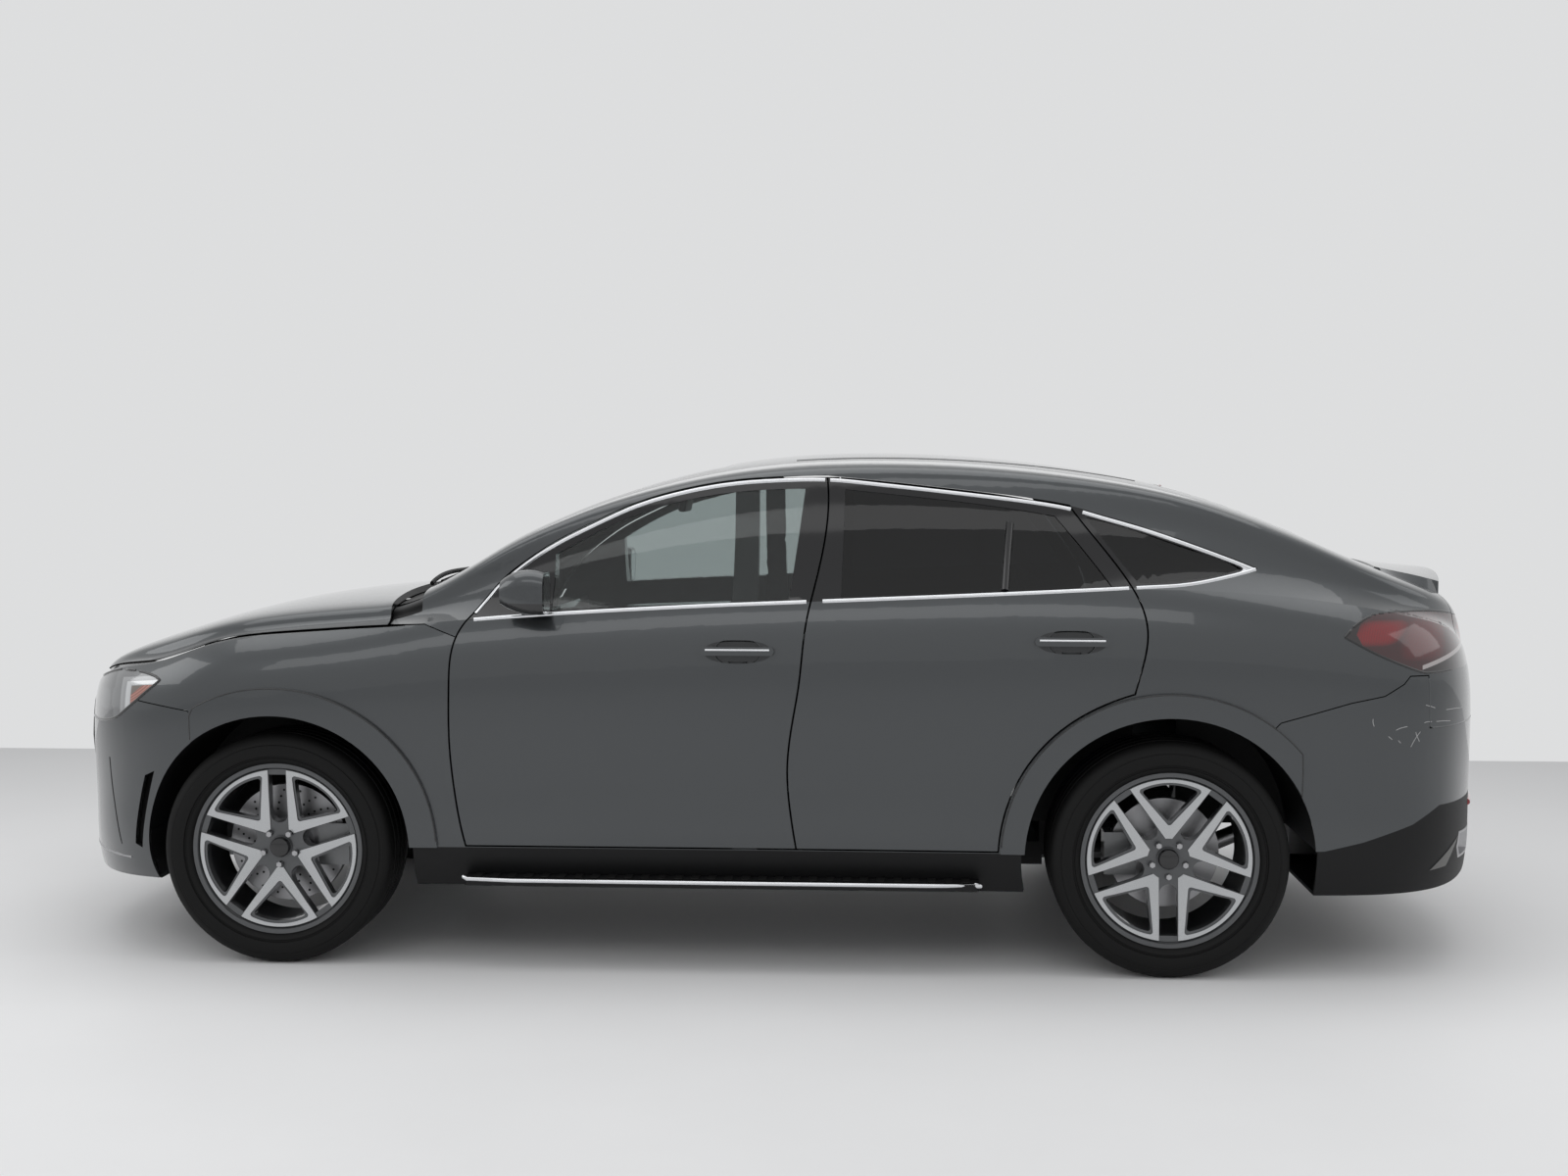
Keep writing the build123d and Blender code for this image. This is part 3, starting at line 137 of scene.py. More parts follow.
class Nodes:
    """A small wrapper that adds and links shader nodes in one tree."""

    def __init__(self, tree: bpy.types.NodeTree) -> None:
        """Keep the tree.

        Args:
            tree: the node tree to build in.
        """
        self.tree = tree

    def add(self, kind: str, **settings: object) -> bpy.types.Node:
        """Add a node.

        Args:
            kind: the node's type.
            settings: attributes set on the node.

        Returns:
            The new node.
        """
        node = self.tree.nodes.new(kind)
        for key, value in settings.items():
            setattr(node, key, value)
        return node

    def link(self, source: object, target: object) -> None:
        """Link an output socket to an input socket."""
        self.tree.links.new(source, target)

    def feed(self, target: object, value: object) -> None:
        """Link a socket, or set a constant, on an input.

        Args:
            target: the input socket.
            value: an output socket or a constant.
        """
        if isinstance(value, bpy.types.NodeSocket):
            self.link(value, target)
        else:
            target.default_value = value

    def axes(self, output: str = "Object") -> tuple[object, object, object]:
        """Return the x, y and z sockets of one of the texture coordinates.

        Args:
            output: the coordinates' name, Object or Normal.

        Returns:
            The three sockets.
        """
        apart = self.add("ShaderNodeSeparateXYZ")
        self.link(self.add("ShaderNodeTexCoord").outputs[output], apart.inputs[0])
        return apart.outputs[0], apart.outputs[1], apart.outputs[2]

    def math(self, operation: str, a: object, b: object = 0.0, clamp: bool = False) -> object:
        """Add a Math node.

        Args:
            operation: the operation's name.
            a: the first socket or number.
            b: the second socket or number.
            clamp: whether the result is held to 0..1.

        Returns:
            The result socket.
        """
        node = self.add("ShaderNodeMath", operation=operation, use_clamp=clamp)
        self.feed(node.inputs[0], a)
        self.feed(node.inputs[1], b)
        return node.outputs[0]

    def mix(self, mask: object, a: object, b: object) -> object:
        """Mix two colours by a mask.

        Args:
            mask: the share of the second colour.
            a: the first colour.
            b: the second colour.

        Returns:
            The mixed colour's socket.
        """
        node = self.add("ShaderNodeMix", data_type="RGBA")
        self.feed(node.inputs[0], mask)
        self.feed(node.inputs[6], a)
        self.feed(node.inputs[7], b)
        return node.outputs[2]

    def blend(self, mask: object, a: float, b: float) -> object:
        """Mix two numbers by a mask and return the socket.

        Args:
            mask: the share of the second number.
            a: the first number.
            b: the second number.

        Returns:
            The result's socket.
        """
        node = self.add("ShaderNodeMapRange")
        self.feed(node.inputs[0], mask)
        node.inputs[3].default_value = a
        node.inputs[4].default_value = b
        return node.outputs[0]

    def curve(self, value: object, points: Sequence[Point], soft: bool = True) -> object:
        """Add a float curve through points in 0..1.

        Args:
            value: the input socket.
            points: the curve's points.
            soft: whether the curve is smooth between them.

        Returns:
            The result socket.
        """
        node = self.add("ShaderNodeFloatCurve")
        line = node.mapping.curves[0]
        ordered = sorted(points)
        while len(line.points) < len(ordered):
            line.points.new(0.5, 0.5)
        for handle, (x, y) in zip(line.points, ordered):
            handle.location = (x, y)
            handle.handle_type = "AUTO" if soft else "VECTOR"
        node.mapping.update()
        self.feed(node.inputs["Value"], value)
        return node.outputs[0]


class Groups:
    """Shader effects that several materials share, each built once."""

    def __init__(self) -> None:
        """Start with no group built."""
        self.built: dict[str, bpy.types.NodeTree] = {}

    def start(self, name: str, inputs: dict[str, str],
              outputs: dict[str, str]) -> tuple[Nodes, object, object]:
        """Open a new group with named sockets.

        Args:
            name: the group's name.
            inputs: input names and socket types.
            outputs: output names and socket types.

        Returns:
            The node helper, the group's input node and its output node.
        """
        tree = bpy.data.node_groups.new(name, "ShaderNodeTree")
        for label, kind in inputs.items():
            tree.interface.new_socket(label, in_out="INPUT", socket_type=kind)
        for label, kind in outputs.items():
            tree.interface.new_socket(label, in_out="OUTPUT", socket_type=kind)
        self.built[name] = tree
        n = Nodes(tree)
        return n, n.add("NodeGroupInput"), n.add("NodeGroupOutput")

    def surface(self) -> bpy.types.NodeTree:
        """Return the group that varies colour and gloss and gives a grain height.

        Returns:
            The node group.
        """
        if "surface_variation" in self.built:
            return self.built["surface_variation"]
        n, start, end = self.start(
            "surface_variation",
            {"Colour": "NodeSocketColor", "Roughness": "NodeSocketFloat", "Spread": "NodeSocketFloat",
             "Scale": "NodeSocketFloat", "Grain Scale": "NodeSocketFloat"},
            {"Colour": "NodeSocketColor", "Roughness": "NodeSocketFloat", "Height": "NodeSocketFloat"})
        where = n.add("ShaderNodeTexCoord")
        broad = n.add("ShaderNodeTexNoise")
        n.link(where.outputs["Object"], broad.inputs["Vector"])
        n.link(start.outputs["Scale"], broad.inputs["Scale"])
        broad.inputs["Detail"].default_value = 4.0
        fine = n.add("ShaderNodeTexNoise")
        n.link(where.outputs["Object"], fine.inputs["Vector"])
        n.link(start.outputs["Grain Scale"], fine.inputs["Scale"])
        swing = n.math("MULTIPLY", n.math("SUBTRACT", broad.outputs["Fac"], 0.5), start.outputs["Spread"])
        shade = n.add("ShaderNodeHueSaturation")
        n.link(start.outputs["Colour"], shade.inputs["Color"])
        n.link(n.math("ADD", n.math("MULTIPLY", swing, 2.0), 1.0), shade.inputs["Value"])
        n.link(shade.outputs[0], end.inputs["Colour"])
        gloss = n.math("MULTIPLY", start.outputs["Roughness"], n.math("ADD", swing, 1.0))
        n.link(gloss, end.inputs["Roughness"])
        n.link(fine.outputs["Fac"], end.inputs["Height"])
        return self.built["surface_variation"]

    def body_zones(self) -> bpy.types.NodeTree:
        """Return the group that marks the window band and the inward faces of the body.

        Returns:
            The node group.
        """
        if "body_zones" in self.built:
            return self.built["body_zones"]
        n, _start, end = self.start("body_zones", {},
                                    {"Band": "NodeSocketFloat", "Inside": "NodeSocketFloat"})
        x, y, z = n.axes()
        _nx, ny, nz = n.axes("Normal")
        (x0, x1), (z0, z1) = BAND_X, BAND_Z
        t = n.math("DIVIDE", n.math("SUBTRACT", x, x0), x1 - x0)
        level = n.math("DIVIDE", n.math("SUBTRACT", z, z0), z1 - z0)
        belt, top = (n.curve(t, [((px - x0) / (x1 - x0), (pz - z0) / (z1 - z0)) for px, pz in line])
                     for line in (WINDOW_BELT, WINDOW_TOP))
        between = n.math("MULTIPLY", n.math("GREATER_THAN", level, belt), n.math("LESS_THAN", level, top))
        along = n.math("MULTIPLY", n.math("GREATER_THAN", x, WINDOW_ENDS[0]),
                       n.math("LESS_THAN", x, WINDOW_ENDS[1]))
        out = n.math("GREATER_THAN", n.math("ABSOLUTE", y), BAND_MIN_Y)
        n.link(n.math("MULTIPLY", between, n.math("MULTIPLY", along, out)), end.inputs["Band"])
        inner = n.math("LESS_THAN", n.math("MULTIPLY", ny, n.math("SIGN", y)), -0.25)
        ceiling = n.math("MULTIPLY", n.math("LESS_THAN", nz, -0.45), n.math("GREATER_THAN", z, 0.7))
        n.link(n.math("MAXIMUM", inner, ceiling), end.inputs["Inside"])
        return self.built["body_zones"]


class Materials:
    """The finishes of the car as Blender materials, each made once."""

    def __init__(self) -> None:
        """Start an empty library."""
        self.groups = Groups()
        self.made: dict[str, bpy.types.Material] = {}

    def blank(self, name: str) -> tuple[bpy.types.Material, Nodes, bpy.types.Node]:
        """Make a material with one Principled shader.

        Args:
            name: the material's name.

        Returns:
            The material, its node helper and the shader node.
        """
        material = bpy.data.materials.new(name)
        material.use_nodes = True
        self.made[name] = material
        n = Nodes(material.node_tree)
        return material, n, material.node_tree.nodes["Principled BSDF"]

    def surface(self, n: Nodes, finish: Finish) -> bpy.types.Node:
        """Add the shared variation group with a finish's values.

        Args:
            n: the material's node helper.
            finish: the finish to follow.

        Returns:
            The group node.
        """
        node = n.add("ShaderNodeGroup", node_tree=self.groups.surface())
        node.inputs["Colour"].default_value = (*finish.colour, 1.0)
        node.inputs["Roughness"].default_value = finish.roughness
        node.inputs["Spread"].default_value = finish.mottle
        node.inputs["Scale"].default_value = finish.scale
        node.inputs["Grain Scale"].default_value = finish.grain_scale
        return node

    def grain(self, n: Nodes, shader: bpy.types.Node, height: object, strength: float) -> None:
        """Feed a height to the shader's normal through a bump.

        Args:
            n: the material's node helper.
            shader: the Principled shader.
            height: the height socket.
            strength: the bump's strength.
        """
        bump = n.add("ShaderNodeBump")
        bump.inputs["Strength"].default_value = strength
        bump.inputs["Distance"].default_value = 0.001
        n.link(height, bump.inputs["Height"])
        n.link(bump.outputs[0], shader.inputs["Normal"])

    def plain(self, finish: Finish) -> bpy.types.Material:
        """Return the material of a plain finish.

        Args:
            finish: the finish to follow.

        Returns:
            The material.
        """
        if finish.name in self.made:
            return self.made[finish.name]
        material, n, shader = self.blank(finish.name)
        group = self.surface(n, finish)
        n.link(group.outputs["Colour"], shader.inputs["Base Color"])
        if finish.transmission == 0.0:
            n.link(group.outputs["Roughness"], shader.inputs["Roughness"])
        else:
            shader.inputs["Roughness"].default_value = finish.roughness
        shader.inputs["Metallic"].default_value = finish.metallic
        shader.inputs["Coat Weight"].default_value = finish.coat
        shader.inputs["Coat Roughness"].default_value = finish.coat_roughness
        shader.inputs["Transmission Weight"].default_value = finish.transmission
        shader.inputs["IOR"].default_value = finish.ior
        shader.inputs["Specular IOR Level"].default_value = finish.specular
        if finish.grain:
            self.grain(n, shader, group.outputs["Height"], finish.grain)
        return material

    def paint(self) -> bpy.types.Material:
        """Return the metallic body paint, black round the side windows and trimmed inside.

        Returns:
            The material.
        """
        if "metallic_paint" in self.made:
            return self.made["metallic_paint"]
        material, n, shader = self.blank("metallic_paint")
        flake = Finish("flake", (0.056, 0.061, 0.065), 0.32, mottle=0.10, scale=1400.0)
        group = self.surface(n, flake)
        zones = n.add("ShaderNodeGroup", node_tree=self.groups.body_zones())
        banded = n.mix(zones.outputs["Band"], group.outputs["Colour"], (0.006, 0.006, 0.007, 1.0))
        colour = n.mix(zones.outputs["Inside"], banded, (0.018, 0.018, 0.02, 1.0))
        n.link(colour, shader.inputs["Base Color"])
        plain = n.math("MAXIMUM", zones.outputs["Band"], zones.outputs["Inside"])
        n.link(n.blend(plain, 0.82, 0.0), shader.inputs["Metallic"])
        rough = n.math("MULTIPLY", group.outputs["Roughness"], n.blend(zones.outputs["Band"], 1.0, 0.35))
        n.link(n.math("ADD", rough, n.blend(zones.outputs["Inside"], 0.0, 0.25)), shader.inputs["Roughness"])
        n.link(n.blend(plain, 1.0, 0.0), shader.inputs["Coat Weight"])
        shader.inputs["Coat Roughness"].default_value = 0.03
        return material

    def rim(self) -> bpy.types.Material:
        """Return the wheel finish: machined faces, dark painted sides.

        Returns:
            The material.
        """
        if "machined_rim" in self.made:
            return self.made["machined_rim"]
        material, n, shader = self.blank("machined_rim")
        x, y, z = n.axes()
        _nx, ny, _nz = n.axes("Normal")
        front = n.math("GREATER_THAN", x, 0.0)
        dx = n.math("SUBTRACT", x, n.blend(front, End.REAR.value[0], End.FRONT.value[0]))
        dz = n.math("SUBTRACT", z, AXLE_Z)
        r = n.math("SQRT", n.math("ADD", n.math("MULTIPLY", dx, dx), n.math("MULTIPLY", dz, dz)))
        level = n.math("SUBTRACT", n.math("ABSOLUTE", y), n.blend(front, 0.9675, 0.9435))
        outer_drop = n.math("MULTIPLY", n.math("SUBTRACT", 0.264, r), 0.004 / 0.064)
        inner_drop = n.math("ADD", n.math("MULTIPLY", n.math("SUBTRACT", 0.200, r), 0.014 / 0.116), 0.004)
        drop = n.math("MAXIMUM", outer_drop, inner_drop)
        raised = n.math("GREATER_THAN", n.math("ADD", level, drop), -0.0018)
        out = n.math("MULTIPLY", ny, n.math("SIGN", y))
        face = n.math("MULTIPLY", n.math("GREATER_THAN", out, 0.80), raised)
        ring = n.math("MULTIPLY", n.math("LESS_THAN", r, 0.2655), n.math("GREATER_THAN", r, 0.066))
        bright = n.math("MULTIPLY", face, ring)
        dark = self.surface(n, Finish("rim_dark", (0.085, 0.088, 0.092), 0.34, mottle=0.08))
        light = self.surface(n, Finish("rim_bright", (0.48, 0.49, 0.50), 0.24, mottle=0.05, scale=500.0))
        n.link(n.mix(bright, dark.outputs["Colour"], light.outputs["Colour"]), shader.inputs["Base Color"])
        n.link(n.blend(bright, 0.36, 0.24), shader.inputs["Roughness"])
        n.link(n.blend(bright, 0.7, 1.0), shader.inputs["Metallic"])
        shader.inputs["Coat Weight"].default_value = 0.6
        shader.inputs["Coat Roughness"].default_value = 0.05
        return material

    def split(self, name: str, low: Finish, high: Finish, height: float) -> bpy.types.Material:
        """Return a material that changes finish at a height above the ground.

        Args:
            name: the material's name.
            low: the finish below.
            high: the finish above.
            height: the height of the change.

        Returns:
            The material.
        """
        if name in self.made:
            return self.made[name]
        material, n, shader = self.blank(name)
        mask = n.math("GREATER_THAN", n.axes()[2], height)
        a = self.surface(n, low)
        b = self.surface(n, high)
        n.link(n.mix(mask, a.outputs["Colour"], b.outputs["Colour"]), shader.inputs["Base Color"])
        n.link(n.blend(mask, low.roughness, high.roughness), shader.inputs["Roughness"])
        n.link(n.blend(mask, low.metallic, high.metallic), shader.inputs["Metallic"])
        n.link(n.blend(mask, low.coat, high.coat), shader.inputs["Coat Weight"])
        return material

    @staticmethod
    def place(n: Nodes) -> tuple[object, object, object]:
        """Return the sockets of a point's x, |y| and z on the piece."""
        x, y, z = n.axes()
        return x, n.math("ABSOLUTE", y), z

    @staticmethod
    def bands(n: Nodes, direction: str, scale: float) -> object:
        """Return the socket of fine moulded ribs along a direction.

        Args:
            n: the material's node helper.
            direction: the axis that the ribs cross.
            scale: how fine they are.

        Returns:
            The ribs' socket.
        """
        ribs = n.add("ShaderNodeTexWave", wave_type="BANDS", bands_direction=direction)
        n.link(n.add("ShaderNodeTexCoord").outputs["Object"], ribs.inputs["Vector"])
        ribs.inputs["Scale"].default_value = scale
        return ribs.outputs["Fac"]

    @staticmethod
    def soft_box(n: Nodes, x: object, z: object, centre: Point, half: Point, lean: float = 0.0,
                 fade: Point = (0.7, 1.2)) -> object:
        """Return a mask that fades from 1 inside a rounded, leaning box to 0 outside.

        Args:
            n: the material's node helper.
            x: the place along the car.
            z: the height.
            centre: the box's middle.
            half: half its length and height.
            lean: how far x moves for each metre of height.
            fade: where the mask starts and ends its fall.

        Returns:
            The mask's socket.
        """
        dz = n.math("SUBTRACT", z, centre[1])
        dx = n.math("SUBTRACT", n.math("SUBTRACT", x, centre[0]), n.math("MULTIPLY", dz, lean))
        u = n.math("POWER", n.math("ABSOLUTE", n.math("DIVIDE", dx, half[0])), 4.0)
        v = n.math("POWER", n.math("ABSOLUTE", n.math("DIVIDE", dz, half[1])), 4.0)
        node = n.add("ShaderNodeMapRange")
        n.link(n.math("ADD", u, v), node.inputs[0])
        for slot, value in zip((1, 2, 3, 4), (*fade, 1.0, 0.0)):
            node.inputs[slot].default_value = value
        return node.outputs[0]

    def red_lamp(self) -> bpy.types.Material:
        """Return the red tail lamp: dark lens, lit blocks inside and a clear strip below; the second, weaker
        block is a painted reflection on the lens.

        Returns:
            The material.
        """
        if "red_lamp" in self.made:
            return self.made["red_lamp"]
        material, n, shader = self.blank("red_lamp")
        x, y, z = self.place(n)
        ribs = self.bands(n, "X", 60.0)
        side = n.math("GREATER_THAN", y, 0.6)
        first = n.math("MULTIPLY",
                       self.soft_box(n, x, z, (-1.980, 1.122), (0.085, 0.040), -0.9, (0.05, 1.2)), side)
        # The second block is a painted reflection: a highlight on the lens drawn as brighter red at 0.35
        # strength.
        second = n.math("MULTIPLY",
                        self.soft_box(n, x, z, (-2.140, 1.100), (0.085, 0.066), -0.3, (0.0, 1.2)), side)
        inner = n.math("MULTIPLY", self.soft_box(n, y, z, (0.50, 1.098), (0.075, 0.034)),
                       n.math("SUBTRACT", 1.0, side))
        blocks = n.math("ADD", n.math("ADD", first, n.math("MULTIPLY", second, 0.35)), inner)
        ribbed = n.math("ADD", n.math("MULTIPLY", ribs, 0.5), 0.5)
        glow = n.math("MULTIPLY", blocks, ribbed, clamp=True)
        red = n.mix(glow, (0.030, 0.0008, 0.0025, 1.0), (0.21, 0.0025, 0.006, 1.0))
        tilt = n.math("ADD", z, n.math("MULTIPLY", x, 0.28))
        strip_mask = n.math("MULTIPLY", n.math("LESS_THAN", tilt, 0.4255), n.math("LESS_THAN", x, -2.120))
        lens = n.mix(n.math("MULTIPLY", strip_mask, side), red, (0.36, 0.33, 0.33, 1.0))
        off_middle = n.math("ABSOLUTE", n.math("SUBTRACT", z, 1.118))
        tip = n.math("SUBTRACT", x, n.math("MULTIPLY", off_middle, -0.5))
        bezel = n.math("MAXIMUM", n.math("LESS_THAN", tilt, 0.412), n.math("GREATER_THAN", tip, -1.906))
        edge = n.math("MULTIPLY", bezel, side)
        n.link(n.mix(edge, lens, (0.008, 0.003, 0.004, 1.0)), shader.inputs["Base Color"])
        n.link(n.blend(glow, 0.16, 0.08), shader.inputs["Roughness"])
        shader.inputs["Coat Weight"].default_value = 1.0
        shader.inputs["Coat Roughness"].default_value = 0.02
        return material

    def headlamp(self) -> bpy.types.Material:
        """Return the headlamp: stepped bright reflectors round a corner and an amber wedge.

        Returns:
            The material.
        """
        if "headlamp" in self.made:
            return self.made["headlamp"]
        material, n, shader = self.blank("headlamp")
        x, y, z = self.place(n)
        ahead = n.math("SUBTRACT", x, 2.122)
        above = n.math("SUBTRACT", z,
                       n.math("ADD", 0.918, n.math("MULTIPLY", n.math("SUBTRACT", 2.122, x), 0.10)))
        reach = n.math("MAXIMUM", ahead, n.math("MULTIPLY", above, 1.7))
        level = n.math("DIVIDE", reach, 0.12, clamp=True)
        steps = n.curve(level, [(0.0, 0.35), (0.06, 0.95), (0.20, 1.0), (0.24, 0.45), (0.40, 0.55),
                                (0.44, 0.22), (0.70, 0.26), (0.76, 0.12), (1.0, 0.16)], soft=False)
        bright = n.mix(steps, (0.035, 0.037, 0.040, 1.0), (0.56, 0.57, 0.58, 1.0))
        eyes = n.math("MAXIMUM", self.soft_box(n, x, z, (2.200, 0.872), (0.020, 0.034)),
                      self.soft_box(n, x, z, (2.262, 0.864), (0.032, 0.034)))
        shell = n.mix(eyes, bright, (0.16, 0.165, 0.17, 1.0))
        wedge = n.math("MULTIPLY", n.math("LESS_THAN", reach, 0.002), n.math("GREATER_THAN", y, 0.6))
        inset = n.math("ADD", n.math("MULTIPLY", n.math("SUBTRACT", x, 2.006), 0.58),
                       n.math("MULTIPLY", n.math("SUBTRACT", z, 0.944), 0.815))
        low = n.math("LESS_THAN", inset, 0.024)
        pink = n.mix(self.bands(n, "DIAGONAL", 90.0), (0.22, 0.075, 0.055, 1.0), (0.40, 0.17, 0.13, 1.0))
        amber = n.mix(low, (0.13, 0.105, 0.09, 1.0), pink)
        n.link(n.mix(wedge, shell, amber), shader.inputs["Base Color"])
        n.link(n.blend(steps, 0.22, 0.14), shader.inputs["Roughness"])
        n.link(n.blend(wedge, 0.35, 0.0), shader.inputs["Metallic"])
        shader.inputs["Coat Weight"].default_value = 1.0
        shader.inputs["Coat Roughness"].default_value = 0.02
        self.grain(n, shader, steps, 0.35)
        return material

    def screen_glass(self) -> bpy.types.Material:
        """Return the fixed glass: clear in front, dark in the quarter windows.

        Returns:
            The material.
        """
        if "screen_glass" in self.made:
            return self.made["screen_glass"]
        material, n, shader = self.blank("screen_glass")
        x, _y, _z = self.place(n)
        group = self.surface(n, CLEAR_GLASS)
        tint = n.mix(n.math("LESS_THAN", x, -0.5), group.outputs["Colour"], (*DARK_GLASS.colour, 1.0))
        n.link(tint, shader.inputs["Base Color"])
        shader.inputs["Roughness"].default_value = 0.0
        shader.inputs["Transmission Weight"].default_value = 1.0
        shader.inputs["IOR"].default_value = CLEAR_GLASS.ior
        return material

    def disc(self) -> bpy.types.Material:
        """Return the swept iron of a brake disc."""
        finish = Finish("swept_iron", (0.33, 0.33, 0.34), 0.36, metallic=1.0, mottle=0.10, scale=240.0)
        return self.plain(finish)


MATERIALS = Materials()


class Maker:
    """Makes finished objects from bmeshes, at the origin and riding on a body."""

    @staticmethod
    def finish(bm: bmesh.types.BMesh, name: str, body: str, material: bpy.types.Material,
               smooth: bool = True) -> bpy.types.Object:
        """Turn a bmesh into an object.

        Args:
            bm: the mesh, in the car's frame; it is freed.
            name: the piece's name.
            body: the body that it rides on.
            material: its material.
            smooth: whether faces are shaded smooth.

        Returns:
            The new object.
        """
        bmesh.ops.remove_doubles(bm, verts=bm.verts, dist=1e-6)
        bmesh.ops.recalc_face_normals(bm, faces=bm.faces)
        for face in bm.faces:
            face.smooth = smooth
        mesh = bpy.data.meshes.new(name)
        bm.to_mesh(mesh)
        bm.free()
        mesh.materials.append(material)
        if smooth:
            mesh.set_sharp_from_angle(angle=SHARP_ANGLE)
        obj = bpy.data.objects.new(name, mesh)
        bpy.context.scene.collection.objects.link(obj)
        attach(obj, body)
        LOG.info("piece %s rides on %s", name, body)
        return obj

    @staticmethod
    def twin(obj: bpy.types.Object, name: str, body: str) -> bpy.types.Object:
        """Return a mirrored copy of a left piece on a right body.

        Args:
            obj: the left piece.
            name: the twin's name.
            body: the body that it rides on.

        Returns:
            The new object.
        """
        bm = bmesh.new()
        bm.from_mesh(obj.data)
        bmesh.ops.scale(bm, vec=(1, -1, 1), verts=bm.verts)
        bmesh.ops.reverse_faces(bm, faces=bm.faces)
        return Maker.finish(bm, name, body, obj.data.materials[0])

    @staticmethod
    def pair(bm: bmesh.types.BMesh, name: str, material: bpy.types.Material, body: str = "body",
             twin_body: str = "body", smooth: bool = True) -> None:
        """Finish a left piece and its mirrored twin.

        Args:
            bm: the left piece; it is freed.
            name: the pieces' name without a side.
            material: their material.
            body: the left piece's body.
            twin_body: the twin's body.
            smooth: whether the left piece's faces are shaded smooth.
        """
        left = Maker.finish(bm, f"{name}_left", body, material, smooth)
        Maker.twin(left, f"{name}_right", twin_body)

    @staticmethod
    def turn_y(bm: bmesh.types.BMesh, degrees: float) -> None:
        """Turn a bmesh about the Y axis."""
        turn = Matrix.Rotation(math.radians(degrees), 3, "Y")
        bmesh.ops.rotate(bm, cent=(0, 0, 0), matrix=turn, verts=bm.verts)

    @staticmethod
    def bead(points: Sequence[Vector], radius: float) -> bmesh.types.BMesh:
        """Return a round bar along points.

        Args:
            points: the line that it follows.
            radius: half its width.

        Returns:
            The bar as a bmesh.
        """
        curve = bpy.data.curves.new("bead", "CURVE")
        curve.dimensions = "3D"
        curve.bevel_depth = radius
        curve.bevel_resolution = 3
        curve.use_fill_caps = True
        spline = curve.splines.new("POLY")
        spline.points.add(len(points) - 1)
        for knot, p in zip(spline.points, points):
            knot.co = (*p, 1.0)
        obj = bpy.data.objects.new("bead", curve)
        bpy.context.scene.collection.objects.link(obj)
        evaluated = obj.evaluated_get(bpy.context.evaluated_depsgraph_get())
        mesh = bpy.data.meshes.new_from_object(evaluated)
        bm = bmesh.new()
        bm.from_mesh(mesh)
        bpy.data.objects.remove(obj)
        bpy.data.curves.remove(curve)
        bpy.data.meshes.remove(mesh)
        return bm

    @staticmethod
    def box(low: Sequence[float], high: Sequence[float], bevel: float = 0.0,
            segments: int = 2) -> bmesh.types.BMesh:
        """Return a box between two corners with rounded edges.

        Args:
            low: the low corner.
            high: the high corner.
            bevel: the radius of its edges.
            segments: segments across an edge.

        Returns:
            The box as a bmesh.
        """
        bm = bmesh.new()
        bmesh.ops.create_cube(bm, size=1.0)
        size = [b - a for a, b in zip(low, high)]
        bmesh.ops.scale(bm, vec=size, verts=bm.verts)
        bmesh.ops.translate(bm, vec=[(a + b) / 2 for a, b in zip(low, high)], verts=bm.verts)
        if bevel:
            bmesh.ops.bevel(bm, geom=bm.edges, offset=bevel, affect="EDGES", segments=segments, profile=0.5,
                            material=-1)
        return bm

    @staticmethod
    def spun(profile: Sequence[Point], centre: Vector, steps: int = 96,
             closed: bool = False) -> bmesh.types.BMesh:
        """Spin a profile of (radius, y) about a wheel axis.

        Args:
            profile: radius and Y of each point.
            centre: a point on the axis.
            steps: segments round the axis.
            closed: whether the last point joins the first.

        Returns:
            The turned shape as a bmesh.
        """
        bm = bmesh.new()
        verts = [bm.verts.new((centre.x, y, centre.z + max(r, 1e-5))) for r, y in profile]
        pairs = list(zip(verts, verts[1:])) + ([(verts[-1], verts[0])] if closed else [])
        edges = [bm.edges.new(pair) for pair in pairs]
        bmesh.ops.spin(bm, geom=verts + edges, cent=centre, axis=(0, 1, 0), dvec=(0, 0, 0),
                       angle=2 * math.pi, steps=steps, use_merge=True)
        return bm


def join(target: bmesh.types.BMesh, other: bmesh.types.BMesh) -> None:
    """Add one bmesh to another and free it.

    Args:
        target: the mesh that grows.
        other: the mesh that goes into it.
    """
    mesh = bpy.data.meshes.new("joined")
    other.to_mesh(mesh)
    other.free()
    target.from_mesh(mesh)
    bpy.data.meshes.remove(mesh)


